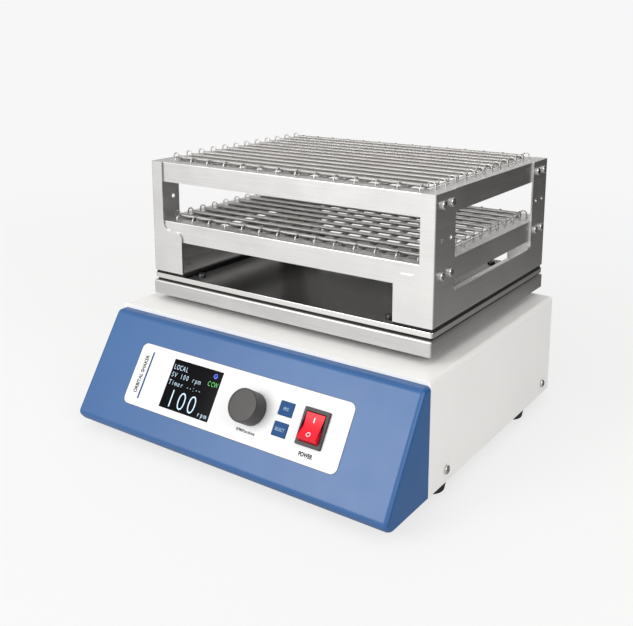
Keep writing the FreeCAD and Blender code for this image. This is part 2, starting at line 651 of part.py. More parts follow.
# ---------------------------------------------------------------- power entry and supply
def socket_block(depth):
    """The socket's recess: an oblong with its two upper corners cut off."""
    half_w, half_h = SOCKET_SIZE[0] / 2, SOCKET_SIZE[1] / 2
    z = INLET_Z + SOCKET_RISE
    rear = HOUSING_REAR_Y + INLET_FLANGE[2]
    chamfer = 5.0
    outline = [
        (INLET_X - half_w, z - half_h),
        (INLET_X + half_w, z - half_h),
        (INLET_X + half_w, z + half_h - chamfer),
        (INLET_X + half_w - chamfer, z + half_h),
        (INLET_X - half_w + chamfer, z + half_h),
        (INLET_X - half_w, z + half_h - chamfer),
    ]
    return prism([(x, rear - depth, h) for x, h in outline], (0, depth + 1, 0))


def fuse_block(grow):
    half_w, half_h = FUSE_FACE[0] / 2 + grow, FUSE_FACE[1] / 2 + grow
    z = INLET_Z - FUSE_DROP
    rear = HOUSING_REAR_Y + INLET_FLANGE[2]
    return box(INLET_X - half_w, INLET_X + half_w, rear - FUSE_DEPTH - grow, rear + 0.6, z - half_h, z + half_h)


def inlet_housing():
    z = INLET_Z
    width, height, thickness = INLET_FLANGE
    rear = HOUSING_REAR_Y
    flange = box(INLET_X - width / 2, INLET_X + width / 2, rear, rear + thickness, z - height / 2, z + height / 2)
    flange = fillet(flange, 2.5, lambda c, d: abs(d.x) + abs(d.z) < 1e-6)
    width, height, depth = INLET_BODY
    body = box(INLET_X - width / 2, INLET_X + width / 2, rear - depth, rear, z - height / 2, z + height / 2)
    return flange.fuse(body).cut([socket_block(SOCKET_DEPTH), fuse_block(0.15)])


def inlet_pins():
    """Three flat contacts standing in the socket, the earth one raised."""
    z = INLET_Z + SOCKET_RISE
    rear = HOUSING_REAR_Y + INLET_FLANGE[2]
    pins = []
    for dx, dz in ((-7.0, -1.5), (7.0, -1.5), (0.0, 2.5)):
        x, h = INLET_X + dx, z + dz
        pins.append(box(x - 1, x + 1, rear - SOCKET_DEPTH, rear - 5.0, h - 2, h + 2))
    return pins


def fuse_drawer():
    drawer = fuse_block(0.0)
    z = INLET_Z - FUSE_DROP
    rear = HOUSING_REAR_Y + INLET_FLANGE[2] + 0.6
    return drawer.cut(box(INLET_X - 3, INLET_X + 3, rear - 1.5, rear + 1, z + 2, z + 4))


def power_supply():
    """A switching supply in its own folded case, with a terminal strip along one edge."""
    width, depth, height = SUPPLY_SIZE
    x1 = -BEARING_FLANGE_RADIUS - SUPPLY_GAP
    y0 = DRIVE_Y - SUPPORT_REACH + BEARING_FLANGE_RADIUS + SUPPLY_GAP
    x0, y1 = x1 - width, y0 + depth
    case = box(x0, x1, y0 + 12, y1, PLATE_TOP_Z, PLATE_TOP_Z + height)
    tray = box(x0, x1, y0, y0 + 12, PLATE_TOP_Z, PLATE_TOP_Z + 3)
    strip = box(x0 + 8, x1 - 8, y0 + 1, y0 + 12, PLATE_TOP_Z + 3, PLATE_TOP_Z + 16)
    return case.fuse([tray, strip]).removeSplitter()


# ---------------------------------------------------------------- orbit drive
def post_spots():
    x = DECK_HALF_X - POST_INSET
    rows = (DECK_FRONT_Y + POST_INSET, DECK_REAR_Y - POST_INSET)
    return [(side * x, y) for side in (-1, 1) for y in rows]


def motor_screw_spots():
    spots = []
    for i in range(4):
        angle = math.radians(45 + 90 * i)
        spots.append(
            (MOTOR_SCREW_CIRCLE * math.cos(angle), MOTOR_Y + MOTOR_SCREW_CIRCLE * math.sin(angle))
        )
    return spots


def bearing_deck():
    half = DECK_HALF_X
    deck = rounded_slab(-half, half, DECK_FRONT_Y, DECK_REAR_Y, DECK_Z, DECK_TOP_Z, 6.0)
    tools = [cylinder(x, y, 0, TOP_Z, BEARING_BODY_RADIUS - 1) for x, y in CRANK_AXES.values()]
    tools.append(cylinder(0, MOTOR_Y, 0, TOP_Z, MOTOR_BOSS_RADIUS))
    tools += [cylinder(x, y, 0, TOP_Z, M4_HOLE) for x, y in post_spots() + motor_screw_spots()]
    return cut_all(deck, tools)


def deck_posts():
    return [ring(x, y, PLATE_TOP_Z, DECK_Z, POST_RADIUS, M4[0]) for x, y in post_spots()]


def deck_screws():
    """The screws into the posts' two ends, and those that hang the motor."""
    top = [turned(screw(DECK_THICKNESS + 8), (0, 0, 1), (x, y, DECK_TOP_Z)) for x, y in post_spots()]
    low = [turned(screw(BASE_PLATE_THICKNESS + 8), (0, 0, -1), (x, y, BASE_Z)) for x, y in post_spots()]
    motor = [turned(screw(DECK_THICKNESS + 6), (0, 0, 1), (x, y, DECK_TOP_Z)) for x, y in motor_screw_spots()]
    return top + low + motor


def bearing_housings():
    """A flanged cartridge under the deck for each crank, with a seat for a race at each end."""
    made = []
    for x, y in CRANK_AXES.values():
        body = cylinder(x, y, BEARING_BOTTOM_Z, DECK_Z, BEARING_BODY_RADIUS)
        body = body.fuse(cylinder(x, y, DECK_Z - BEARING_FLANGE, DECK_Z, BEARING_FLANGE_RADIUS))
        body = body.fuse(cylinder(x, y, DECK_Z, DECK_TOP_Z, BEARING_BODY_RADIUS - 1))
        seats = [cylinder(x, y, z, z + RACE_HEIGHT, DECK_RACE_RADIUS) for z in deck_race_heights()]
        bore = cylinder(x, y, 0, TOP_Z, DECK_RACE_RADIUS - BEARING_SHOULDER)
        made.append(body.cut(seats + [bore]).removeSplitter())
    return made


def deck_race_heights():
    return (BEARING_BOTTOM_Z, BEARING_TOP_Z - RACE_HEIGHT)


def deck_bearings():
    """The outer race and seals of each deck bearing, as one ring."""
    inner = JOURNAL_RADIUS + RACE_WALL + RUNNING_GAP
    return [
        ring(x, y, z, z + RACE_HEIGHT, DECK_RACE_RADIUS, inner)
        for x, y in CRANK_AXES.values()
        for z in deck_race_heights()
    ]


def carrier_bearings():
    """The outer race and seals of each bearing in the platform's carrier."""
    inner = PIN_RADIUS + RACE_WALL + RUNNING_GAP
    return [
        ring(x, y + ORBIT_RADIUS, CARRIER_Z, CARRIER_Z + RACE_HEIGHT, CARRIER_RACE_RADIUS, inner)
        for x, y in CRANK_AXES.values()
    ]


def crank(name):
    """An eccentric crank: a journal in the deck, a disc, and a pin one orbit radius off the axis."""
    x, y = CRANK_AXES[name]
    journal = cylinder(x, y, BEARING_BOTTOM_Z - 1, DISC_Z, JOURNAL_RADIUS)
    disc = cylinder(x, y, DISC_Z, DISC_Z + CRANK_DISC_THICKNESS, CRANK_DISC_RADIUS)
    pin_top = CARRIER_Z + RACE_HEIGHT - 0.3
    pin = cylinder(x, y + ORBIT_RADIUS, DISC_Z + CRANK_DISC_THICKNESS, pin_top, PIN_RADIUS)
    return journal.fuse([disc, pin])


def crank_races(name):
    """The inner races that are pressed on a crank's journal and pin."""
    x, y = CRANK_AXES[name]
    outer = JOURNAL_RADIUS + RACE_WALL
    races = [ring(x, y, z, z + RACE_HEIGHT, outer, JOURNAL_RADIUS) for z in deck_race_heights()]
    pin_race = ring(
        x, y + ORBIT_RADIUS, CARRIER_Z, CARRIER_Z + RACE_HEIGHT - 0.3, PIN_RADIUS + RACE_WALL, PIN_RADIUS
    )
    return races + [pin_race]


def pulley(x, y, pitch_radius, bore):
    """A flat pulley between two flanges, which the belt touches at its pitch line."""
    tread = pitch_radius - BELT_THICKNESS / 2 - BELT_CLEARANCE
    top = PULLEY_Z + PULLEY_HEIGHT
    body = cylinder(x, y, PULLEY_Z, top, tread)
    body = body.fuse(cylinder(x, y, PULLEY_Z, PULLEY_Z + PULLEY_FLANGE, tread + PULLEY_LIP))
    body = body.fuse(cylinder(x, y, top - PULLEY_FLANGE, top, tread + PULLEY_LIP))
    return body.cut(cylinder(x, y, 0, TOP_Z, bore))


def counterweight():
    """A thick sector on the drive pulley, opposite the pin, that balances the platform."""
    z0, z1 = DISC_Z, DISC_Z + CRANK_DISC_THICKNESS
    start = 270 - COUNTERWEIGHT_ANGLE / 2
    wedge = Part.makeCylinder(COUNTERWEIGHT_RADIUS, z1 - z0, V(0, 0, 0), V(0, 0, 1), COUNTERWEIGHT_ANGLE)
    wedge.rotate(V(0, 0, 0), V(0, 0, 1), start)
    wedge.translate(V(0, DRIVE_Y, z0))
    return wedge.cut(cylinder(0, DRIVE_Y, z0 - 1, z1 + 1, CRANK_DISC_RADIUS + 0.5))


def belt_loop(offset):
    """The closed line round both pulleys, offset from their pitch circles, as a flat face."""
    big, small = DRIVE_PITCH_RADIUS + offset, MOTOR_PITCH_RADIUS + offset
    lean = math.asin((big - small) / BELT_CENTRES)
    half_turn = math.pi / 2

    def spot(radius, along, angle):
        return V(radius * math.cos(angle), DRIVE_Y - along - radius * math.sin(angle), BELT_Z)

    def bend(radius, along, start, middle, end):
        return Part.Arc(*[spot(radius, along, angle) for angle in (start, middle, end)]).toShape()

    def run(start, end):
        return Part.LineSegment(start, end).toShape()

    other = math.pi - lean
    edges = [
        run(spot(big, 0, lean), spot(small, BELT_CENTRES, lean)),
        bend(small, BELT_CENTRES, lean, half_turn, other),
        run(spot(small, BELT_CENTRES, other), spot(big, 0, other)),
        bend(big, 0, other, -half_turn, lean),
    ]
    return Part.Face(Part.Wire(edges))


def drive_belt():
    band = belt_loop(BELT_THICKNESS / 2).cut(belt_loop(-BELT_THICKNESS / 2))
    return band.extrude(V(0, 0, BELT_WIDTH))


def motor_housing():
    top = DECK_Z
    body = cylinder(0, MOTOR_Y, top - MOTOR_LENGTH, top, MOTOR_RADIUS)
    body = body.makeFillet(2.0, [e for e in body.Edges if e.CenterOfMass.z < top - MOTOR_LENGTH + 0.01])
    waist = ring(0, MOTOR_Y, top - MOTOR_LENGTH + 8, top - 8, MOTOR_RADIUS + 1, MOTOR_RADIUS - 1.5)
    boss = cylinder(0, MOTOR_Y, top, top + 4, MOTOR_BOSS_RADIUS)
    bore = cylinder(0, MOTOR_Y, top - MOTOR_LENGTH + 5, TOP_Z, MOTOR_SHAFT_RADIUS + 0.05)
    holes = [cylinder(x, y, top - 7, top + 1, M4[0]) for x, y in motor_screw_spots()]
    return body.cut(waist).fuse(boss).cut([bore] + holes)


def motor_shaft():
    return cylinder(0, MOTOR_Y, DECK_Z - MOTOR_LENGTH + 6, PULLEY_Z + PULLEY_HEIGHT, MOTOR_SHAFT_RADIUS)


# ---------------------------------------------------------------- platform
def four_corners(x, y):
    return [(sx * x, PLATFORM_Y + sy * y) for sx in (-1, 1) for sy in (-1, 1)]


def plate_screw_spots():
    """The screws that hold the rack's floor plate to the tray."""
    return four_corners(RACK_HALF_X - PLATE_SCREW_INSET[0], RACK_HALF_Y - PLATE_SCREW_INSET[1])


def panel_screw_spots():
    """The screws from below that hold the side panels' foot flanges to the floor plate."""
    return four_corners(RACK_HALF_X - FOOT_FLANGE_WIDTH / 2, RACK_HALF_Y - PANEL_SCREW_INSET)


def carrier_screw_spots():
    return four_corners(CARRIER_HALF_X - CARRIER_SCREW_INSET, CARRIER_HALF_Y - CARRIER_SCREW_INSET)


def tray_block(offset, z0, z1, radius):
    half_x, half_y = PLATFORM_HALF_X - offset, PLATFORM_HALF_Y - offset
    block = box(-half_x, half_x, PLATFORM_Y - half_y, PLATFORM_Y + half_y, z0, z1)
    return fillet(block, radius, lambda c, d: is_vertical(d) or c.z > z1 - 0.01)


def platform_tray():
    """The moving table: a folded tray, open below, with rounded edges."""
    tray = tray_block(0.0, SKIRT_Z, TRAY_Z, PLATFORM_RADIUS)
    tray = tray.cut(tray_block(SHEET, SKIRT_Z - 1, TRAY_Z - SHEET, PLATFORM_RADIUS - SHEET))
    tools = [cylinder(x, y, 0, RACK_Z, M4_HOLE) for x, y in plate_screw_spots() + carrier_screw_spots()]
    return cut_all(tray, tools)


def carrier_plate():
    """The plate under the tray whose pockets hold the bearings on the crank pins."""
    half_x, half_y = CARRIER_HALF_X, CARRIER_HALF_Y
    plate = rounded_slab(-half_x, half_x, PLATFORM_Y - half_y, PLATFORM_Y + half_y, CARRIER_Z, CARRIER_TOP_Z, 8.0)
    tools = [
        cylinder(x, y + ORBIT_RADIUS, CARRIER_Z - 1, CARRIER_Z + RACE_HEIGHT, CARRIER_RACE_RADIUS)
        for x, y in CRANK_AXES.values()
    ]
    tools += [cylinder(x, y, 0, RACK_Z, M4[0]) for x, y in carrier_screw_spots()]
    return cut_all(plate, tools)


def platform_screws():
    """The screws of the carrier, of the floor plate and, from below, of the side panels."""
    down = V(0, 0, 1)
    made = [turned(screw(SHEET + CARRIER_THICKNESS), down, (x, y, TRAY_Z)) for x, y in carrier_screw_spots()]
    length = FLOOR_Z - TRAY_Z + SHEET + M4_NUT_HEIGHT + SCREW_TIP
    made += [turned(screw(length), down, (x, y, FLOOR_Z)) for x, y in plate_screw_spots()]
    length = SHEET + STRIP_THICKNESS + SHEET
    seat = FLOOR_Z - SHEET
    return made + [turned(screw(length), (0, 0, -1), (x, y, seat)) for x, y in panel_screw_spots()]


def plate_nuts():
    return [turned(nut(), (0, 0, -1), (x, y, TRAY_Z - SHEET)) for x, y in plate_screw_spots()]


def plate_block(offset, z0, z1):
    half_x, half_y = RACK_HALF_X - offset, RACK_HALF_Y - offset
    radius = max(PLATE_CORNER_RADIUS - offset, 0.5)
    return rounded_slab(-half_x, half_x, PLATFORM_Y - half_y, PLATFORM_Y + half_y, z0, z1, radius)


def rack_base_plate():
    """The rack's floor: a flat sheet with its rim folded down."""
    plate = plate_block(0.0, RIM_Z, FLOOR_Z)
    plate = plate.makeFillet(0.8, [e for e in plate.Edges if e.BoundBox.ZMin > FLOOR_Z - 0.01])
    plate = plate.cut(plate_block(SHEET, RIM_Z - 1, FLOOR_Z - SHEET))
    spots = plate_screw_spots() + panel_screw_spots()
    return cut_all(plate, [cylinder(x, y, 0, RACK_Z, M4_HOLE) for x, y in spots])


def rubber_mats():
    """The mat between tray and plate, and a strip under each side panel's foot flange."""
    mat = plate_block(MAT_INSET, TRAY_Z, FLOOR_Z - SHEET)
    tools = [cylinder(x, y, 0, RACK_Z, M4_HOLE) for x, y in plate_screw_spots()]
    spots = carrier_screw_spots() + panel_screw_spots()
    tools += [cylinder(x, y, 0, RACK_Z, M4[1] + 0.5) for x, y in spots]
    bores = [cylinder(x, y, 0, RACK_Z + 1, M4_HOLE) for x, y in panel_screw_spots()]
    strips = []
    for side in (-1, 1):
        edges = sorted((side * (RACK_HALF_X - SHEET), side * (RACK_HALF_X - FOOT_FLANGE_WIDTH)))
        ends = (PLATFORM_Y - RACK_HALF_Y + SHEET, PLATFORM_Y + RACK_HALF_Y - SHEET)
        strips.append(box(*edges, *ends, FLOOR_Z, RACK_Z).cut(bores))
    return [cut_all(mat, tools)] + strips


# ---------------------------------------------------------------- rack
def flange_outline():
    """The front flange of a side panel, as edges in the plane (x from the outside in, z up)."""
    narrow, wide, radius = POST_WIDTH_FRONT, FOOT_FLANGE_WIDTH, FOOT_FLANGE_RADIUS
    step = RACK_Z + FOOT_FLANGE_HEIGHT

    def spot(inward, z):
        return V(RACK_HALF_X - inward, PLATFORM_Y - RACK_HALF_Y, z)

    return [
        Part.LineSegment(spot(0, RACK_Z), spot(0, RACK_TOP_Z)).toShape(),
        Part.LineSegment(spot(0, RACK_TOP_Z), spot(narrow, RACK_TOP_Z)).toShape(),
        Part.LineSegment(spot(narrow, RACK_TOP_Z), spot(narrow, step + radius)).toShape(),
        arc_through((narrow + radius, step + radius), radius, 180, 270, spot),
        Part.LineSegment(spot(narrow + radius, step), spot(wide - radius, step)).toShape(),
        arc_through((wide - radius, step - radius), radius, 90, 0, spot),
        Part.LineSegment(spot(wide, step - radius), spot(wide, RACK_Z)).toShape(),
        Part.LineSegment(spot(wide, RACK_Z), spot(0, RACK_Z)).toShape(),
    ]


def tier_screw_spots():
    """(y, drop below a tier's top) of the screws in one side panel."""
    ends = [PLATFORM_Y + side * (RACK_HALF_Y - SCREW_EDGE) for side in (-1, 1)]
    inner = [PLATFORM_Y + side * (RACK_HALF_Y - SCREW_EDGE - SCREW_PAIR) for side in (-1, 1)]
    return [(y, SCREW_DROP) for y in ends + inner]


def right_side_panel():
    """A folded sheet: a side with a window open at the top, a flange at each end and a foot flange."""
    y0, y1 = PLATFORM_Y - RACK_HALF_Y, PLATFORM_Y + RACK_HALF_Y
    side = box(RACK_HALF_X - SHEET, RACK_HALF_X, y0, y1, RACK_Z, RACK_TOP_Z)
    window = box(
        RACK_HALF_X - 5,
        RACK_HALF_X + 5,
        y0 + POST_WIDTH_SIDE,
        y1 - POST_WIDTH_SIDE,
        RACK_Z + WINDOW_SILL,
        RACK_TOP_Z + 10,
    )
    window = fillet(window, WINDOW_RADIUS, lambda c, d: abs(d.y) + abs(d.z) < 1e-6 and c.z < RACK_Z + WINDOW_SILL + 1)
    side = side.cut(window)
    front = Part.Face(Part.Wire(flange_outline())).extrude(V(0, SHEET, 0))
    rear = front.mirror(V(0, PLATFORM_Y, 0), V(0, 1, 0))
    foot = box(RACK_HALF_X - FOOT_FLANGE_WIDTH, RACK_HALF_X, y0, y1, RACK_Z, RACK_Z + SHEET)
    panel = side.fuse([front, rear, foot]).removeSplitter()

    def is_bend(centre, direction):
        return is_vertical(direction) and centre.x > RACK_HALF_X - 0.01 and direction.Length > POST_WIDTH_SIDE

    panel = fillet(panel, PANEL_BEND_RADIUS, is_bend)
    tools = [cylinder(x, y, RACK_Z - 1, RACK_Z + 5, M4[0]) for x, y in panel_screw_spots() if x > 0]
    for step in range(TIER_STEPS + 1):
        for y, drop in tier_screw_spots():
            z = RACK_TOP_Z - step * TIER_HOLE_PITCH - drop
            tools.append(turned(Part.makeCylinder(M4_HOLE, 10), (1, 0, 0), (RACK_HALF_X - 5, y, z)))
    return cut_all(panel, tools)


def left_side_panel():
    return right_side_panel().mirror(V(0, 0, 0), V(1, 0, 0))


def spring_rows(count, reach):
    """Evenly spaced places from -reach to reach."""
    return [reach * (2 * i / (count - 1) - 1) for i in range(count)]


def long_rows():
    return spring_rows(LONG_SPRINGS, TIER_HALF_X - LONG_SPRING_EDGE)


def cross_rows():
    return spring_rows(CROSS_SPRINGS, TIER_HALF_Y - CROSS_SPRING_EDGE)


def hook_hole_spots():
    """Where the springs' hooks pass through a tier's flange."""
    x, y = TIER_HALF_X - HOOK_HOLE_EDGE, TIER_HALF_Y - HOOK_HOLE_EDGE
    spots = [(row, PLATFORM_Y + side * y) for row in long_rows() for side in (-1, 1)]
    return spots + [(side * x, PLATFORM_Y + row) for row in cross_rows() for side in (-1, 1)]


def tier_frame(top):
    """An angle frame: a skirt all round, and a flange inwards with a hole for each hook."""
    x, y = TIER_HALF_X, TIER_HALF_Y
    frame = box(-x, x, PLATFORM_Y - y, PLATFORM_Y + y, top - TIER_SKIRT, top)
    frame = frame.makeFillet(1.0, [e for e in frame.Edges if e.BoundBox.ZMin > top - 0.01])
    x, y = TIER_HALF_X - SHEET, TIER_HALF_Y - SHEET
    frame = frame.cut(box(-x, x, PLATFORM_Y - y, PLATFORM_Y + y, top - TIER_SKIRT - 1, top - SHEET))
    x, y = TIER_HALF_X - TIER_FLANGE, TIER_HALF_Y - TIER_FLANGE
    frame = frame.cut(rounded_slab(-x, x, PLATFORM_Y - y, PLATFORM_Y + y, top - 5, top + 5, 3.0))
    tools = [cylinder(x, y, top - 5, top + 5, HOOK_HOLE_RADIUS) for x, y in hook_hole_spots()]
    for side in (-1, 1):
        for y, drop in tier_screw_spots():
            start = (side * (TIER_HALF_X - 5), y, top - drop)
            tools.append(turned(Part.makeCylinder(M4_HOLE, 10), (side, 0, 0), start))
    return cut_all(frame, tools)


def hook(rod_lift):
    """A half-loop hook in the plane (u outwards, z up), from a rod's end over and down through the flange."""
    low, high = rod_lift, max(rod_lift, 0.0) + 0.3
    foot = -3.0

    def spot(u, w):
        return V(u, 0, w)

    edges = [
        Part.LineSegment(spot(0, low), spot(0, high)).toShape(),
        arc_through((HOOK_RADIUS, high), HOOK_RADIUS, 180, 0, spot),
        Part.LineSegment(spot(2 * HOOK_RADIUS, high), spot(2 * HOOK_RADIUS, foot)).toShape(),
    ]
    section = Part.Wire(Part.Circle(spot(0, low), V(0, 0, 1), WIRE_RADIUS).toShape())
    return Part.Wire(edges).makePipeShell([section], True, False)


def spring(half_length, rod_lift):
    """An extension spring along X about the origin: a closely wound body, drawn as a rod, and two hooks."""
    rod_half = half_length - HOOK_HOLE_EDGE - 2 * HOOK_RADIUS
    overlap = 0.4 * WIRE_RADIUS
    body = Part.makeCylinder(SPRING_RADIUS, 2 * (rod_half + overlap), V(-rod_half - overlap, 0, rod_lift), V(1, 0, 0))
    end = hook(rod_lift)
    end.translate(V(rod_half, 0, 0))
    other = end.mirror(V(0, 0, 0), V(1, 0, 0))
    return body.fuse([end, other])


def tier_springs(top):
    """The springs of one tier: the long ones run front to back, the cross ones lie over them."""
    made = []
    long_lift = -LONG_SPRING_DROP
    cross_lift = long_lift + 2 * SPRING_RADIUS + SPRING_LAYER_GAP
    long_one = spring(TIER_HALF_Y, long_lift)
    cross_one = spring(TIER_HALF_X, cross_lift)
    for row in long_rows():
        copy = long_one.copy()
        copy.rotate(V(0, 0, 0), V(0, 0, 1), 90)
        copy.translate(V(row, PLATFORM_Y, top))
        made.append(copy)
    for row in cross_rows():
        copy = cross_one.copy()
        copy.translate(V(0, PLATFORM_Y + row, top))
        made.append(copy)
    return made


def tier_fastener_spots():
    """(side, y, z) of every screw that holds a tier to a side panel."""
    return [
        (side, y, top - drop)
        for top in (UPPER_TIER_Z, LOWER_TIER_Z)
        for side in (-1, 1)
        for y, drop in tier_screw_spots()
    ]


def rack_screws():
    length = 2 * SHEET + M4_NUT_HEIGHT + 1.0
    return [turned(screw(length), (side, 0, 0), (side * RACK_HALF_X, y, z)) for side, y, z in tier_fastener_spots()]


def rack_nuts():
    seat = TIER_HALF_X - SHEET
    return [turned(nut(), (-side, 0, 0), (side * seat, y, z)) for side, y, z in tier_fastener_spots()]


# ---------------------------------------------------------------- output
def pieces():
    """Every node's name and its solid or group of solids."""
    made = {
        "base_plate": base_plate(),
        "housing_cover": housing_cover(),
        "front_bezel": front_bezel(),
        "control_label": control_label(),
        "display_window": display_window(),
        "display_module": display_module(),
        "control_board": control_board(),
        "encoder_body": encoder_body(),
        "encoder_nut": encoder_nut(),
        "encoder_shaft": encoder_shaft(),
        "encoder_plunger": encoder_plunger(),
        "knob": knob(),
        "program_button": key_button(BUTTON_DROPS[0]),
        "select_button": key_button(BUTTON_DROPS[1]),
        "key_switches": key_switches(),
        "switch_housing": switch_housing(),
        "power_rocker": rocker(),
        "inlet_housing": inlet_housing(),
        "inlet_pins": inlet_pins(),
        "fuse_drawer": fuse_drawer(),
        "power_supply": power_supply(),
        "rubber_feet": rubber_feet(),
        "foot_screws": foot_screws(),
        "foot_nuts": foot_nuts(),
        "cover_screws": cover_screws(),
        "bezel_screws": bezel_screws(),
        "bearing_deck": bearing_deck(),
        "deck_posts": deck_posts(),
        "deck_screws": deck_screws(),
        "bearing_housings": bearing_housings(),
        "deck_bearings": deck_bearings(),
        "motor_housing": motor_housing(),
        "motor_shaft": motor_shaft(),
        "motor_pulley": pulley(0, MOTOR_Y, MOTOR_PITCH_RADIUS, MOTOR_SHAFT_RADIUS),
        "drive_belt": drive_belt(),
        "drive_pulley": pulley(0, DRIVE_Y, DRIVE_PITCH_RADIUS, JOURNAL_RADIUS),
        "counterweight": counterweight(),
        "platform_tray": platform_tray(),
        "carrier_plate": carrier_plate(),
        "carrier_bearings": carrier_bearings(),
        "rubber_mats": rubber_mats(),
        "rack_base_plate": rack_base_plate(),
        "platform_screws": platform_screws(),
        "left_side_panel": left_side_panel(),
        "right_side_panel": right_side_panel(),
        "upper_tier_frame": tier_frame(UPPER_TIER_Z),
        "lower_tier_frame": tier_frame(LOWER_TIER_Z),
        "upper_springs": tier_springs(UPPER_TIER_Z),
        "lower_springs": tier_springs(LOWER_TIER_Z),
        "rack_screws": rack_screws(),
        "platform_nuts": rack_nuts() + plate_nuts(),
    }
    for name in CRANK_AXES:
        made[f"{name}_crank"] = crank(name)
        made[f"{name}_crank_races"] = crank_races(name)
    return made


def write(folder="parts"):
    os.makedirs(folder, exist_ok=True)
    for name, shape in pieces().items():
        solids = []
        for item in shape if isinstance(shape, list) else [shape]:
            solids += item.Solids
        whole = solids[0] if len(solids) == 1 else Part.makeCompound(solids)
        whole.exportStep(os.path.join(folder, name + ".step"))
        print(name, len(solids), "solids", "valid" if whole.isValid() else "NOT VALID", round(whole.Volume))


write()
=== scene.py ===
"""Looks of a bench orbital shaker with a two-tier spring rack, laid out as a Blender add-on.

Metres, +Z up, the control panel faces -Y, +X to the right of the panel. Small sizes are written
in millimetres and made metres by MM or mm().
"""

import math
from contextlib import contextmanager

import bmesh
import bpy
from bpy.props import FloatProperty, FloatVectorProperty, IntProperty, PointerProperty
from bpy.types import Operator, Panel, PropertyGroup
from mathutils import Matrix, Vector


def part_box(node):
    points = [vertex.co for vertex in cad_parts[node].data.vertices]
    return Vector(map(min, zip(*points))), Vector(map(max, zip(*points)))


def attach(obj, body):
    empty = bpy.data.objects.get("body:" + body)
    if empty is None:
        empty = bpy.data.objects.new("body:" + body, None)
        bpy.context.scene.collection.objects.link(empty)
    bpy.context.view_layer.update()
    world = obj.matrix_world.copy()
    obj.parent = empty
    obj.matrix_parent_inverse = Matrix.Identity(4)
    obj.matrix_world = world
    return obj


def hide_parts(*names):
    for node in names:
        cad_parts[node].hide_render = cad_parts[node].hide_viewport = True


bl_info = {
    "name": "Orbital Shaker",
    "version": (1, 0, 0),
    "blender": (4, 5, 0),
    "location": "View3D > Sidebar > Shaker",
    "description": "Builds the visible pieces and finishes of a bench orbital shaker",
    "category": "Object",
}

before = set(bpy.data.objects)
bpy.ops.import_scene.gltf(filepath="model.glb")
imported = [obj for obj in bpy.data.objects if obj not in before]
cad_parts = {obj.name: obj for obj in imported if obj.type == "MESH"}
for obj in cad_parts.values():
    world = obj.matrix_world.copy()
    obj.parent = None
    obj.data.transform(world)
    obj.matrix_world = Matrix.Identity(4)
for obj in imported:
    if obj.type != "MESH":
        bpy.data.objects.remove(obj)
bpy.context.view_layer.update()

MM = 0.001
NEAR = 0.05 * MM
FACING = 0.9  # least share of a face's normal along an axis that it faces

# ---- planes taken from the frame
COVER_LOW, COVER_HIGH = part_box("housing_cover")
BEZEL_LOW, BEZEL_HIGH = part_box("front_bezel")
TRAY_LOW, TRAY_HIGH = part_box("platform_tray")
PANEL_LOW, PANEL_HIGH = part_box("right_side_panel")

JOINT_Y = COVER_LOW.y
FACE_TOP_Y = JOINT_Y - 9.6 * MM
FRONT_Y = JOINT_Y - 67.3 * MM
LIP_RISE, LIP_SETBACK = 7.0 * MM, 6.0 * MM
FACE_TILT = math.atan2(BEZEL_HIGH.z - BEZEL_LOW.z - LIP_RISE, FACE_TOP_Y - FRONT_Y)
PLATFORM_Y = (TRAY_LOW.y + TRAY_HIGH.y) / 2

# Places on the sloping face: x across, drop down the slope from its top edge, in millimetres.
LABEL_SPAN = ((-123.0, 120.5), (24.5, 83.0))
DISPLAY_SPAN = ((-78.5, -18.9), (31.3, 76.2))
KNOB_SPOT = (23.9, 53.3)
KEY_X, KEY_DROPS = 57.3, (44.9, 62.5)
SWITCH_SPOT = (88.4, 53.3)
TITLE_X, TITLE_LINE_X, TITLE_DROP = -112.9, -106.6, 53.6

# Openings as half sizes or a radius, and thicknesses over the face, in millimetres.
DISPLAY_GAP = 0.3
SHAFT_HOLE = 3.8
KEY_OPENING = (7.45, 6.15)
SWITCH_OPENING = (11.85, 14.55)
LABEL_SKIN, BORDER_SKIN, LINE_SKIN, INK_SKIN = 0.4, 0.15, 0.08, 0.06

# Rack: screw places in millimetres, and distances from a tier's edge to its holes and springs.
TIERS = {"upper": "upper_tier_frame", "lower": "lower_tier_frame"}
SCREW_ROWS = (-111.0, -95.0, 95.0, 111.0)
SCREW_DROP = 10.0
HOLE_STEPS = (0.0, 30.0, 60.0)
HOOK_EDGE, LONG_EDGE, CROSS_EDGE = 9.5 * MM, 20.0 * MM, 18.9 * MM
CRANK_NODES = ("drive_crank", "rear_crank", "front_left_crank", "front_right_crank")


# ---- settings
def colour(name, text, value):
    return FloatVectorProperty(
        name=name, description=text, subtype="COLOR", size=3, min=0, max=1, default=value
    )


def length(name, text, value):
    return FloatProperty(
        name=name, description=text, subtype="DISTANCE", unit="LENGTH", min=0, default=value
    )


def count(name, text, value):
    return IntProperty(name=name, description=text, min=2, default=value)


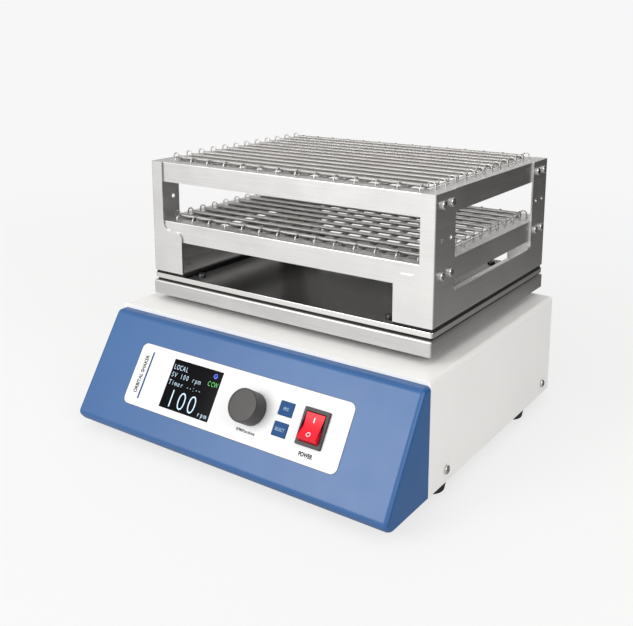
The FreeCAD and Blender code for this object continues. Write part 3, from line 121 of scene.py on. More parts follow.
class ShakerSettings(PropertyGroup):
    """Sizes and colours that a user would change."""

    cover_colour: colour("Cover", "Enamel of the sheet metal cover", (0.74, 0.735, 0.72))
    bezel_colour: colour("Front housing", "Blue of the front housing", (0.014, 0.079, 0.226))
    label_colour: colour("Label", "Ground of the printed panel label", (0.64, 0.645, 0.65))
    ink_colour: colour("Ink", "Blue ink of the label and ground of the keys", (0.004, 0.048, 0.160))
    knob_colour: colour("Knob", "Plastic of the rotary knob", (0.034, 0.031, 0.030))
    rocker_colour: colour("Rocker", "Plastic of the power rocker", (0.62, 0.005, 0.020))
    steel_colour: colour("Stainless", "Brushed stainless sheet", (0.645, 0.64, 0.635))
    cover_radius: length("Cover radius", "Outer bend radius of the cover", 4.0 * MM)
    bezel_radius: length("Front housing radius", "Rounding of the front housing's edges", 4.0 * MM)
    bezel_wall: length("Front housing wall", "Wall thickness of the front housing", 2.5 * MM)
    sheet: length("Sheet", "Thickness of the folded sheets", 1.5 * MM)
    wire_radius: length("Spring wire", "Radius of the wire of the springs", 0.5 * MM)
    spring_radius: length("Spring radius", "Outer radius of a spring's coil", 2.0 * MM)
    long_springs: count("Long springs", "Springs of a tier from front to back", 14)
    cross_springs: count("Cross springs", "Springs of a tier from side to side", 12)


# ---- modelling helpers
def mm(*sizes):
    """A place or a move from millimetres."""
    return Vector([size * MM for size in sizes])


def shift(*sizes):
    return Matrix.Translation(mm(*sizes))


def centre(node):
    low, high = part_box(node)
    return (low + high) / 2


def clear():
    if bpy.context.object and bpy.context.object.mode != "OBJECT":
        bpy.ops.object.mode_set(mode="OBJECT")
    bpy.ops.object.select_all(action="DESELECT")


def only(*pieces):
    """Selects these pieces alone, the first one active."""
    clear()
    for piece in pieces:
        piece.select_set(True)
    bpy.context.view_layer.objects.active = pieces[0]


def bake_place(piece):
    """Puts a piece's place, turn and size in its mesh."""
    only(piece)
    bpy.ops.object.transform_apply(location=True, rotation=True, scale=True)
    return piece


def block(low, high):
    """A box primitive between two corners."""
    clear()
    low, high = Vector(low), Vector(high)
    bpy.ops.mesh.primitive_cube_add(size=1, location=(low + high) / 2)
    piece = bpy.context.object
    piece.scale = high - low
    return bake_place(piece)


def flat_block(half_x, half_y, z0, z1, x=0.0, y=0.0):
    """A box drawn flat about a spot, sizes in millimetres."""
    return block(mm(x - half_x, y - half_y, z0), mm(x + half_x, y + half_y, z1))


def rod(start, end, radius, sides=32):
    """A cylinder primitive from one point to another."""
    clear()
    start, end = Vector(start), Vector(end)
    along = end - start
    turn = along.to_track_quat("Z", "Y").to_euler()
    bpy.ops.mesh.primitive_cylinder_add(
        vertices=sides, radius=radius, depth=along.length, location=(start + end) / 2, rotation=turn
    )
    return bake_place(bpy.context.object)


@contextmanager
def editing(piece, mode="FACE", picked="DESELECT"):
    """Edit mode on one piece, with nothing or everything selected."""
    only(piece)
    bpy.ops.object.mode_set(mode="EDIT")
    bpy.ops.mesh.select_mode(type=mode)
    bpy.ops.mesh.select_all(action=picked)
    yield
    bpy.ops.object.mode_set(mode="OBJECT")


def pick(piece, parts, rule):
    """Selects the edited faces, edges or verts for which the rule is true."""
    mesh = bmesh.from_edit_mesh(piece.data)
    for part in getattr(mesh, parts):
        if rule(part):
            part.select_set(True)
    bmesh.update_edit_mesh(piece.data)


def pick_faces(piece, rule):
    """Selects the faces for which rule(centre, normal) is true."""
    pick(piece, "faces", lambda face: rule(face.calc_center_median(), face.normal))


def round_edges(piece, radius, segments, rule):
    """Rounds the edges for which rule(end, other end) is true."""
    with editing(piece, "EDGE"):
        pick(piece, "edges", lambda edge: rule(edge.verts[0].co, edge.verts[1].co))
        bpy.ops.mesh.bevel(offset=radius, segments=segments, affect="EDGES")


def remove_faces(piece, rule, inset=0.0, **options):
    """Deletes the picked faces, or what an inset leaves of them."""
    with editing(piece):
        pick_faces(piece, rule)
        if inset:
            bpy.ops.mesh.inset(thickness=inset, **options)
        bpy.ops.mesh.delete(type="FACE")


def extrude(push):
    bpy.ops.mesh.extrude_region_move(TRANSFORM_OT_translate={"value": push})


def push_faces(piece, rule, inset, push=None):
    """Insets the picked faces and pushes what is inside along a vector."""
    with editing(piece):
        pick_faces(piece, rule)
        bpy.ops.mesh.inset(thickness=inset)
        if push is not None:
            extrude(push)


def slice_off(piece, spot, normal):
    """Cuts away what lies beyond a plane and closes the cut."""
    with editing(piece, picked="SELECT"):
        bpy.ops.mesh.bisect(plane_co=spot, plane_no=normal, use_fill=True, clear_outer=True)


def close_ends():
    """Closes the open ends of the edited mesh and turns its faces outwards."""
    bpy.ops.mesh.select_all(action="SELECT")
    bpy.ops.mesh.fill_holes(sides=0)
    bpy.ops.mesh.select_all(action="SELECT")
    bpy.ops.mesh.normals_make_consistent(inside=False)


def upright(a, b):
    return abs(a.x - b.x) < NEAR and abs(a.y - b.y) < NEAR


def at_height(z):
    return lambda a, b: abs(a.z - z) < NEAR and abs(b.z - z) < NEAR


def upright_above(z):
    return lambda a, b: upright(a, b) and (a.z + b.z) / 2 > z


def near_axis(low, high):
    """Faces between two heights whose middle is on the Z axis."""
    return lambda c, n: low < c.z < high and c.xy.length < MM


def faces_up(c, n):
    return n.z > FACING


def faces_down(c, n):
    return n.z < -FACING


def modify(piece, kind, **settings):
    """Adds a modifier and applies it."""
    modifier = piece.modifiers.new(kind, kind)
    for key, value in settings.items():
        setattr(modifier, key, value)
    only(piece)
    bpy.ops.object.modifier_apply(modifier=modifier.name)
    return piece


def thicken(piece, wall):
    """Gives a shell its wall, inwards."""
    return modify(piece, "SOLIDIFY", thickness=wall, offset=-1.0, use_even_offset=True)


def join(pieces):
    only(*pieces)
    if len(pieces) > 1:
        bpy.ops.object.join()
    return bpy.context.object


def cut(piece, tools):
    """Cuts tools that don't touch each other out of a piece."""
    tool = join(tools)
    modify(piece, "BOOLEAN", object=tool, operation="DIFFERENCE", solver="EXACT")
    bpy.data.objects.remove(tool)
    return piece


def place(piece, matrix):
    """Moves a piece and puts its place in its mesh."""
    only(piece)
    piece.matrix_world = matrix @ piece.matrix_world
    return bake_place(piece)


def copy_of(piece, matrix):
    """A copy with its own mesh, moved."""
    twin = piece.copy()
    twin.data = piece.data.copy()
    bpy.context.scene.collection.objects.link(twin)
    return place(twin, matrix)


def repeat(piece, matrices):
    """Moved copies of a piece, which stand in for the piece itself."""
    copies = [copy_of(piece, matrix) for matrix in matrices]
    bpy.data.objects.remove(piece)
    return copies


def face_out(piece):
    """Turns the faces of a closed piece outwards where they point in."""
    mesh = bmesh.new()
    mesh.from_mesh(piece.data)
    inside_out = mesh.calc_volume(signed=True) < 0
    mesh.free()
    if inside_out:
        with editing(piece, picked="SELECT"):
            bpy.ops.mesh.flip_normals()
    return piece


def on_panel(x, drop, out=0.0):
    """Takes a piece drawn flat, +Z outwards and +Y up the slope, to a place on the face."""
    spot = Vector((x * MM, FACE_TOP_Y, BEZEL_HIGH.z))
    spot -= drop * MM * Vector((0, math.cos(FACE_TILT), math.sin(FACE_TILT)))
    return Matrix.Translation(spot) @ Matrix.Rotation(FACE_TILT, 4, "X") @ shift(0, 0, out)


def on_span(span):
    """The place on the face of a span's middle."""
    (left, right), (top, bottom) = span
    return on_panel((left + right) / 2, (top + bottom) / 2)


def panel_slab(span, z0, z1, grow=0.0, radius=0.0):
    """A slab of a span's size between two heights, drawn flat, sizes in millimetres."""
    (left, right), (top, bottom) = span
    slab = flat_block((right - left) / 2 + grow, (bottom - top) / 2 + grow, z0, z1)
    if radius:
        round_edges(slab, radius * MM, 10, upright)
    return slab


def panel_openings(z0, z1):
    """Tools for the openings of the display, the knob, the keys and the switch."""
    tools = [place(panel_slab(DISPLAY_SPAN, z0, z1, grow=DISPLAY_GAP), on_span(DISPLAY_SPAN))]
    tools.append(place(rod(mm(0, 0, z0), mm(0, 0, z1), SHAFT_HOLE * MM), on_panel(*KNOB_SPOT)))
    for drop in KEY_DROPS:
        tools.append(place(flat_block(*KEY_OPENING, z0, z1), on_panel(KEY_X, drop)))
    tools.append(place(flat_block(*SWITCH_OPENING, z0, z1), on_panel(*SWITCH_SPOT)))
    return tools


def words(text, cap_height, spot=(0.0, 0.0), squeeze=1.0, turn=0.0, weight=0.0):
    """Thin flat lettering about a spot, sizes in millimetres."""
    cap_share, merge = 0.73, 0.002  # capital height of the font, and the gap that is closed
    clear()
    bpy.ops.object.text_add()
    text_curve = bpy.context.object.data
    text_curve.body = text
    text_curve.size = cap_height * MM / cap_share
    text_curve.align_x = "CENTER"
    text_curve.align_y = "BOTTOM_BASELINE"
    text_curve.extrude = INK_SKIN * MM / 2
    text_curve.offset = weight * MM
    text_curve.resolution_u = 3
    bpy.ops.object.convert(target="MESH")
    piece = bpy.context.object
    with editing(piece, "VERT", "SELECT"):
        bpy.ops.mesh.remove_doubles(threshold=merge * MM)
    size = Matrix.Diagonal((squeeze, 1, 1, 1))
    spot = shift(*spot, INK_SKIN / 2)
    lower = shift(0, -cap_height / 2, 0)
    return place(piece, spot @ Matrix.Rotation(turn, 4, "Z") @ size @ lower)


def spaced(text, cap_height, pitch, left, y, squeeze=0.72, weight=0.0):
    """Lettering with every character in a column of its own, as a display shows it."""
    made = []
    for index, letter in enumerate(text):
        if letter != " ":
            spot = (left + (index + 0.5) * pitch, y)
            made.append(words(letter, cap_height, spot, squeeze=squeeze, weight=weight))
    return made


def ring_mark(radius, wall, spot=(0.0, 0.0)):
    """A thin flat ring, sizes in millimetres."""
    clear()
    bpy.ops.mesh.primitive_cylinder_add(vertices=40, radius=radius * MM, depth=INK_SKIN * MM)
    piece = bpy.context.object
    with editing(piece):
        pick_faces(piece, lambda c, n: abs(n.z) > FACING)
        bpy.ops.mesh.inset(thickness=wall * MM)
        bpy.ops.mesh.bridge_edge_loops()
    return place(piece, shift(*spot, INK_SKIN / 2))


def flat_mark(half_x, half_y, x=0.0, y=0.0):
    """A thin flat stroke, sizes in millimetres."""
    return flat_block(half_x, half_y, 0, INK_SKIN, x, y)


def settle(name, piece, body, slot, finish, *nodes, crease=35.0, weighted=True):
    """Names, smooths, paints and places a finished piece."""
    bake_place(piece)
    piece.name = name
    piece.data.name = name
    bpy.ops.object.shade_smooth_by_angle(angle=math.radians(crease))
    if weighted:
        modify(piece, "WEIGHTED_NORMAL", keep_sharp=True)
    piece.data.materials.clear()
    piece.data.materials.append(FINISHES[finish])
    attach(piece, body)
    if nodes:
        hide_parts(*nodes)
    return piece


def settle_print(name, piece, body, slot, finish):
    """Settles thin flat ink, figures or lines."""
    return settle(name, piece, body, slot, finish, weighted=False)


# ---- finishes
class Wire:
    """A socket of a material's nodes, for use in ordinary expressions."""

    def __init__(self, recipe, socket):
        self.recipe = recipe
        self.socket = socket

    def _maths(self, operation, first, second):
        return self.recipe.node("Math", {"operation": operation}, {0: first, 1: second})

    def __add__(self, other):
        return self._maths("ADD", self, other)

    def __sub__(self, other):
        return self._maths("SUBTRACT", self, other)

    def __rsub__(self, other):
        return self._maths("SUBTRACT", other, self)

    def __mul__(self, other):
        return self._maths("MULTIPLY", self, other)

    __radd__, __rmul__ = __add__, __mul__


class Recipe:
    """The nodes of one material or world."""

    def __init__(self, tree):
        self.tree = tree
        self.tree.nodes.clear()

    def node(self, kind, settings=None, inputs=None, output=0):
        """Adds a node: its settings first, then its sockets. Gives an output, or else the node."""
        made = self.tree.nodes.new("ShaderNode" + kind)
        for key, value in (settings or {}).items():
            setattr(made, key, value)
        for key, value in (inputs or {}).items():
            if isinstance(value, Wire):
                self.tree.links.new(value.socket, made.inputs[key])
            else:
                made.inputs[key].default_value = value
        return made if output is None else Wire(self, made.outputs[output])

    def ramp(self, wire, low, high):
        """0 up to low, 1 from high, and smooth between."""
        inputs = {"Value": wire, "From Min": low, "From Max": high}
        return self.node("MapRange", {"interpolation_type": "SMOOTHSTEP"}, inputs)

    def blend(self, mask, first, second):
        """A colour between two, by a mask from 0 to 1."""
        colours = [value if isinstance(value, Wire) else (*value, 1.0) for value in (first, second)]
        inputs = {0: mask, 6: colours[0], 7: colours[1]}
        return self.node("Mix", {"data_type": "RGBA"}, inputs, output=2)


class Finish(Recipe):
    """One material with its main shader."""

    def __init__(self, name, shine=0.5, **shader):
        self.material = bpy.data.materials.new(name)
        self.material.use_nodes = True
        super().__init__(self.material.node_tree)
        self.spot = self.node("TexCoord", output="Object")
        shader["Specular IOR Level"] = shine
        self.surface = self.node("BsdfPrincipled", None, shader)
        self.output = self.node("OutputMaterial", output=None)
        self.show(self.surface)
        FINISHES[name] = self.material

    def show(self, surface):
        self.tree.links.new(surface.socket, self.output.inputs["Surface"])

    def feed(self, socket, wire):
        self.tree.links.new(wire.socket, self.surface.socket.node.inputs[socket])

    def noise(self, scale, stretch=None, detail=3.0, rough=0.5):
        spot = self.spot
        if stretch:
            spot = self.node("Mapping", None, {"Vector": spot, "Scale": stretch})
        inputs = {"Vector": spot, "Scale": scale, "Detail": detail, "Roughness": rough}
        return self.node("TexNoise", None, inputs)

    def flatness(self):
        """1 where the surface lies flat, 0 where it stands upright."""
        normal = self.node("NewGeometry", output="Normal")
        up = self.node("SeparateXYZ", None, {"Vector": normal}, output="Z")
        return self.ramp(self.node("Math", {"operation": "ABSOLUTE"}, {0: up}), 0.6, 0.8)

    def bump(self, height, strength, depth):
        """Relief whose depth is in millimetres."""
        inputs = {"Strength": strength, "Distance": depth * MM, "Height": height}
        self.feed("Normal", self.node("Bump", None, inputs, output="Normal"))


FINISHES = {}


def shade(tone, share):
    return tuple(min(1.0, value * share) for value in tone)


def moulded(name, tone, rough, grain=900.0, depth=0.05, wear=0.05, shine=0.5):
    """Moulded plastic, ink or enamel: a faint orange peel, and tone and gloss that drift."""
    made = Finish(name, shine)
    drift = made.ramp(made.noise(9.0, detail=4.0), 0.3, 0.7)
    made.feed("Base Color", made.blend(drift, shade(tone, 1 - wear), shade(tone, 1 + wear)))
    made.feed("Roughness", rough + 0.10 * (made.noise(45.0, detail=5.0) - 0.5))
    made.bump(made.noise(grain, detail=2.0), depth, 0.15)


def brushed(name, tone, rough, fine=1.0):
    """Brushed sheet: hairlines along the sheet, level on upright faces and across on flat ones."""
    along, across = 14.0, 1500.0 * fine
    made = Finish(name, Metallic=1.0)
    upright_hair = made.noise(1.0, (along, along, across), detail=4.0, rough=0.6)
    flat_hair = made.noise(1.0, (along, across, along), detail=4.0, rough=0.6)
    flat = made.flatness()
    hair = upright_hair * (1 - flat) + flat_hair * flat
    cloud = made.noise(22.0, detail=4.0)
    mask = made.ramp(0.6 * hair + 0.4 * cloud, 0.35, 0.65)
    made.feed("Base Color", made.blend(mask, shade(tone, 0.93), shade(tone, 1.06)))
    made.feed("Roughness", rough + 0.18 * (hair - 0.5) + 0.16 * (cloud - 0.5))
    made.bump(hair, 0.07, 0.05)


def smudged(name, rough, smudge):
    """Bright metal without its colour yet, and the cloud of its smudges."""
    made = Finish(name, Metallic=1.0)
    cloud = made.noise(35.0, detail=5.0, rough=0.65)
    made.feed("Roughness", rough + smudge * made.ramp(cloud, 0.4, 0.75))
    made.bump(made.noise(260.0, detail=2.0), 0.02, 0.1)
    return made, cloud


def polished(name, tone, rough, smudge=0.08):
    """Plated or ground metal."""
    made, cloud = smudged(name, rough, smudge)
    mask = made.ramp(cloud, 0.3, 0.7)
    made.feed("Base Color", made.blend(mask, shade(tone, 0.93), shade(tone, 1.05)))


def mirror_plate(name, fold_tone, floor_painted_shade, haze):
    """Bright plate whose flat floor is painted darker than its upright folds: the floor's dark tone
    is painted shade for the dark room it reflects.
    """
    made, _ = smudged(name, 0.16, 0.03)
    # Painted shade: flat faces take the near-black floor tone, upright faces the bright steel tone.
    tone = made.blend(made.flatness(), fold_tone, floor_painted_shade)
    made.feed("Base Color", made.blend(0.04 * made.noise(35.0), tone, haze))


def matt(name, tone, rough=0.85):
    """Rubber with a little dust."""
    made = Finish(name, shine=0.35)
    dust = made.ramp(made.noise(60.0, detail=6.0), 0.45, 0.8)
    made.feed("Base Color", made.blend(dust, tone, tuple(v * 1.8 + 0.006 for v in tone)))
    made.feed("Roughness", rough + 0.1 * (made.noise(30.0) - 0.5))
    made.bump(made.noise(700.0), 0.25, 0.1)


def lit(name, tone, strength):
    """Figures that a display lights, with its faint columns."""
    made = Finish(name, **{"Roughness": 0.4, "Emission Strength": strength})
    columns = made.ramp(made.noise(1.0, (2500.0, 600.0, 600.0)), 0.3, 0.7)
    made.feed("Emission Color", made.blend(columns, shade(tone, 0.85), tone))
    made.feed("Base Color", made.blend(columns, shade(tone, 0.3), shade(tone, 0.4)))


def make_finishes(look):
    """Makes every finish, from the settings where they hold its colour."""
    steel, ink, dull = look.steel_colour, look.ink_colour, 0.2
    moulded("cover_enamel", look.cover_colour, 0.42, 1100.0, depth=0.06, wear=0.02)
    moulded("bezel_blue", look.bezel_colour, 0.38, 1300.0, wear=0.04)
    moulded("label_film", look.label_colour, 0.36, 1500.0, depth=0.03, wear=0.015, shine=0.15)
    moulded("label_edge", (0.03, 0.045, 0.08), 0.4, depth=0.02)
    moulded("blue_ink", ink, 0.45, depth=0.02, shine=dull)
    moulded("dark_ink", (0.02, 0.022, 0.03), 0.5, depth=0.02, shine=dull)
    moulded("white_ink", (0.85, 0.87, 0.90), 0.45, depth=0.02, wear=0.02)
    moulded("pale_ink", (0.30, 0.42, 0.55), 0.5, depth=0.02, shine=dull)
    moulded("key_blue", ink, 0.45, 1400.0, depth=0.03, shine=0.15)
    moulded("display_glass", (0.003, 0.003, 0.004), 0.12, 200.0, depth=0.005, shine=0.04)
    moulded("knob_grey", look.knob_colour, 0.42, 1800.0, depth=0.12, shine=0.35)
    moulded("switch_black", (0.030, 0.027, 0.025), 0.42, 1200.0, shine=0.3)
    moulded("rocker_red", look.rocker_colour, 0.30, 300.0, depth=0.01, shine=0.25)
    moulded("inlet_black", (0.022, 0.022, 0.023), 0.45, 1500.0, depth=0.10)
    moulded("display_case", (0.05, 0.05, 0.052), 0.55)
    moulded("board_green", (0.02, 0.13, 0.06), 0.38)
    moulded("motor_black", (0.03, 0.03, 0.032), 0.45, 600.0, depth=0.15)
    brushed("stainless", steel, 0.33)
    brushed("platform_steel", shade(steel, 0.80), 0.42, 0.7)
    brushed("zinc_steel", (0.52, 0.52, 0.50), 0.42, 0.5)
    brushed("aluminium", (0.68, 0.69, 0.70), 0.36, 0.6)
    # The rack base plate's dark floor tone is painted shade, not the steel's own colour.
    mirror_plate("mirror_steel", (0.66, 0.65, 0.64), (0.095, 0.093, 0.092), (0.3, 0.3, 0.3))
    polished("dark_steel", (0.10, 0.10, 0.10), 0.30)
    polished("spring_steel", (0.52, 0.51, 0.50), 0.32, 0.06)
    polished("fastener", (0.56, 0.55, 0.54), 0.16)
    polished("bearing_steel", (0.66, 0.66, 0.68), 0.16)
    polished("contact_metal", (0.66, 0.62, 0.52), 0.22)
    matt("black_rubber", (0.012, 0.012, 0.012))
    matt("belt_rubber", (0.02, 0.02, 0.02), 0.75)
    lit("figures_pale", (0.58, 0.78, 0.92), 0.8)
    lit("figures_green", (0.08, 0.62, 0.10), 0.55)
    lit("figures_blue", (0.06, 0.12, 0.85), 0.8)


# ---- cabinet
class SHAKER_OT_cover(Operator):
    """Builds the folded sheet cover with its vents and openings"""

    bl_idname = "shaker.cover"
    bl_label = "Cover"

    def execute(self, context):
        look = context.scene.shaker
        low, high = COVER_LOW, COVER_HIGH
        lip, crank_hole, above = 12.0 * MM, 13.0 * MM, mm(0, 0, 5)
        inlet_half, vent_half, vent_round = (14.0, 23.5), (1.5, 17.0), 1.45 * MM
        vents, vent_middle, vent_pitch = 9, -85.0, 8.0
        piece = block(low, high)

        def is_bend(a, b):
            if a.y < low.y + NEAR and b.y < low.y + NEAR:
                return False
            if min(a.y, b.y) < low.y + NEAR and abs(a.z - b.z) > NEAR:
                return False
            return at_height(high.z)(a, b) or (upright(a, b) and a.y > high.y - NEAR)

        remove_faces(piece, faces_down)
        remove_faces(piece, lambda c, n: n.y < -FACING, inset=lip, use_boundary=False)
        round_edges(piece, look.cover_radius, 6, is_bend)
        thicken(piece, look.sheet)
        tools = []
        for node in CRANK_NODES:
            spot = Vector((centre(node + "_races").x, centre(node).y, high.z))
            tools.append(rod(spot - above, spot + above, crank_hole, 48))
        spot = Vector((centre("inlet_housing").x, high.y, centre("inlet_housing").z))

        def back_opening(half_x, half_z):
            return block(spot - mm(half_x, 6, half_z), spot + mm(half_x, 4, half_z))

        tools.append(back_opening(*inlet_half))
        for i in range(vents):
            spot.x = (vent_middle + (i - vents // 2) * vent_pitch) * MM
            slot = back_opening(*vent_half)
            round_edges(slot, vent_round, 4, lambda a, b: abs(a.y - b.y) > 5 * MM)
            tools.append(slot)
        cut(piece, tools)
        settle("cover_shell", piece, "base", "white_enamel", "cover_enamel", "housing_cover")
        return {"FINISHED"}


class SHAKER_OT_bezel(Operator):
    """Builds the blue front housing with the sloping face and its openings"""

    bl_idname = "shaker.bezel"
    bl_label = "Front housing"

    def execute(self, context):
        look = context.scene.shaker
        low = Vector((BEZEL_LOW.x, FRONT_Y, BEZEL_LOW.z))
        high = Vector((BEZEL_HIGH.x, JOINT_Y, BEZEL_HIGH.z))
        piece = block(low, high)
        slope = (0, -math.sin(FACE_TILT), math.cos(FACE_TILT))
        lip = Vector((0, -LIP_RISE, -LIP_SETBACK)).normalized()
        slice_off(piece, (0, FACE_TOP_Y, high.z), slope)
        slice_off(piece, (0, FRONT_Y, low.z + LIP_RISE), lip)

        def is_outer(a, b):
            at_joint = a.y > JOINT_Y - NEAR and b.y > JOINT_Y - NEAR
            return not at_joint and not at_height(low.z)(a, b)

        round_edges(piece, look.bezel_radius, 6, is_outer)
        remove_faces(piece, lambda c, n: n.y > FACING or faces_down(c, n))
        thicken(piece, look.bezel_wall)
        cut(piece, panel_openings(-7, 5))
        settle("front_housing_shell", piece, "base", "blue_plastic", "bezel_blue", "front_bezel")
        return {"FINISHED"}


class SHAKER_OT_feet(Operator):
    """Builds the four tapered rubber feet"""

    bl_idname = "shaker.feet"
    bl_label = "Feet"

    def execute(self, context):
        low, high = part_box("rubber_feet")
        radius, taper, rounding = 14.0 * MM, 1.5 * MM, 1.2 * MM
        bore_inset, bore_depth = 6.3 * MM, 4.4 * MM
        height = high.z - low.z
        clear()
        tip = radius - taper
        bpy.ops.mesh.primitive_cone_add(vertices=48, radius1=tip, radius2=radius, depth=height)
        foot = place(bpy.context.object, Matrix.Translation((0, 0, height / 2)))
        round_edges(foot, rounding, 4, at_height(0.0))
        push_faces(foot, near_axis(-NEAR, NEAR), bore_inset, (0, 0, bore_depth))
        left, right, front, back = low.x + radius, high.x - radius, low.y + radius, high.y - radius
        spots = [Matrix.Translation((x, y, 0)) for x in (left, right) for y in (front, back)]
        feet = join(repeat(foot, spots))
        settle("rubber_foot_set", feet, "base", "black_rubber", "black_rubber", "rubber_feet")
        return {"FINISHED"}


# ---- control panel
class SHAKER_OT_label(Operator):
    """Builds the printed panel label, a dark sheet just larger than it that shows as a thin dark
    line round its edge, and its captions
    """

    bl_idname = "shaker.label"
    bl_label = "Panel label"

    def execute(self, context):
        corner, border = 6.0, 0.5
        # label_border is a dark sheet 0.5 mm larger than the label, under it, which shows as a thin
        # dark line round the label's edge.
        for name, finish, nodes, skin, grow in (
            ("label_sheet", "label_film", ("control_label",), LABEL_SKIN, 0.0),
            ("label_border", "label_edge", (), BORDER_SKIN, border),
        ):
            sheet = panel_slab(LABEL_SPAN, 0.0, skin, grow=grow, radius=corner + grow)
            cut(place(sheet, on_span(LABEL_SPAN)), panel_openings(-1, 2))
            settle(name, sheet, "base", "label_film", finish, *nodes, crease=50, weighted=False)
        line = flat_block(0.95, 22.5, 0, LINE_SKIN)
        place(line, on_panel(TITLE_LINE_X, TITLE_DROP, LABEL_SKIN))
        settle_print("label_line", line, "base", "label_film", "blue_ink")
        captions = []
        for text, height, squeeze, weight, turn, x, drop in (
            ("ORBITAL SHAKER", 4.3, 0.78, 0.18, math.pi / 2, TITLE_X, TITLE_DROP),
            ("POWER", 3.6, 0.80, 0.22, 0.0, SWITCH_SPOT[0], 75.4),
            ("RPM/Functions", 2.6, 0.95, 0.10, 0.0, KNOB_SPOT[0], 72.8),
        ):
            caption = words(text, height, squeeze=squeeze, turn=turn, weight=weight)
            captions.append(place(caption, on_panel(x, drop, LABEL_SKIN)))
        settle_print("label_captions", join(captions), "base", "label_film", "dark_ink")
        return {"FINISHED"}


class SHAKER_OT_display(Operator):
    """Builds the display window and its lit figures"""

    bl_idname = "shaker.display"
    bl_label = "Display"

    def execute(self, context):
        pane = panel_slab(DISPLAY_SPAN, -2.5, LABEL_SKIN)
        round_edges(pane, 0.15 * MM, 2, at_height(LABEL_SKIN * MM))
        place(pane, on_span(DISPLAY_SPAN))
        settle("display_pane", pane, "base", "display_black", "display_glass", "display_window")
        face = on_span(DISPLAY_SPAN) @ shift(0, 0, LABEL_SKIN)
        left, pitch, height = -28.6, 3.7, 4.9
        unit_left, unit_pitch, unit_height = 15.8, 4.0, 4.6
        figures = []
        for text, y in (("LOCAL", 16.0), ("SV 100 rpm", 8.7), ("Timer --:--", 1.4)):
            figures += spaced(text, height, pitch, left, y, weight=-0.06)
        figures += spaced("100", 17.6, 12.7, -24.9, -12.0, squeeze=0.88, weight=-0.45)
        figures += spaced("rpm", unit_height, unit_pitch, unit_left, -18.2)
        direction = spaced("CCW", unit_height, unit_pitch, unit_left, 10.2)
        icon = [ring_mark(2.3, 0.8, (22.4, 17.6)), flat_mark(1.5, 0.45, 23.4, 17.1)]
        for name, marks, finish in (
            ("display_figures", figures, "figures_pale"),
            ("display_direction", direction, "figures_green"),
            ("display_icon", icon, "figures_blue"),
        ):
            settle_print(name, place(join(marks), face), "base", "display_black", finish)
        return {"FINISHED"}


class SHAKER_OT_knob(Operator):
    """Builds the rotary knob"""

    bl_idname = "shaker.knob"
    bl_label = "Knob"

    def execute(self, context):
        foot, height, radius = 1.6, 16.0, 14.7
        rim, dish, wall, bore = 1.0 * MM, 0.25 * MM, 3.0 * MM, 5.0 * MM
        top = (foot + height) * MM
        piece = rod(mm(0, 0, foot), (0, 0, top), radius * MM, 96)
        round_edges(piece, 0.8 * MM, 3, at_height(top))
        crown = near_axis(top - dish - NEAR, top + NEAR)
        push_faces(piece, crown, rim, (0, 0, -dish))
        push_faces(piece, crown, 0.5 * MM)
        push_faces(piece, faces_down, wall, (0, 0, bore))
        place(piece, on_panel(*KNOB_SPOT))
        settle("knob_cap", piece, "knob_head", "knob_grey", "knob_grey", "knob")
        return {"FINISHED"}


class SHAKER_OT_keys(Operator):
    """Builds the two square keys and their captions"""

    bl_idname = "shaker.keys"
    bl_label = "Keys"

    def execute(self, context):
        flange_half, flange_low, flange_high = (8.2, 6.9), -3.7, -2.5
        top, stem_end = LABEL_SKIN + 0.9, flange_low - 2.4
        cap_inset, stem_inset = 1.0 * MM, 5.4 * MM

        def is_foot(c, n):
            return faces_down(c, n) and c.z < flange_low * MM + NEAR

        for drop, node, body, text in (
            (KEY_DROPS[0], "program_button", "program_key", "PRG"),
            (KEY_DROPS[1], "select_button", "select_key", "SELECT"),
        ):
            piece = flat_block(*flange_half, flange_low, flange_high)
            push_faces(piece, faces_up, cap_inset, mm(0, 0, top - flange_high))
            push_faces(piece, is_foot, stem_inset, mm(0, 0, stem_end - flange_low))
            round_edges(piece, 1.0 * MM, 5, upright_above((flange_high + 0.1) * MM))
            round_edges(piece, 0.3 * MM, 3, at_height(top * MM))
            place(piece, on_panel(KEY_X, drop))
            settle(node + "_cap", piece, body, "key_blue", "key_blue", node)
            caption = place(words(text, 2.9, squeeze=0.76), on_panel(KEY_X, drop, top))
            settle_print(node + "_caption", caption, body, "key_blue", "pale_ink")
        return {"FINISHED"}


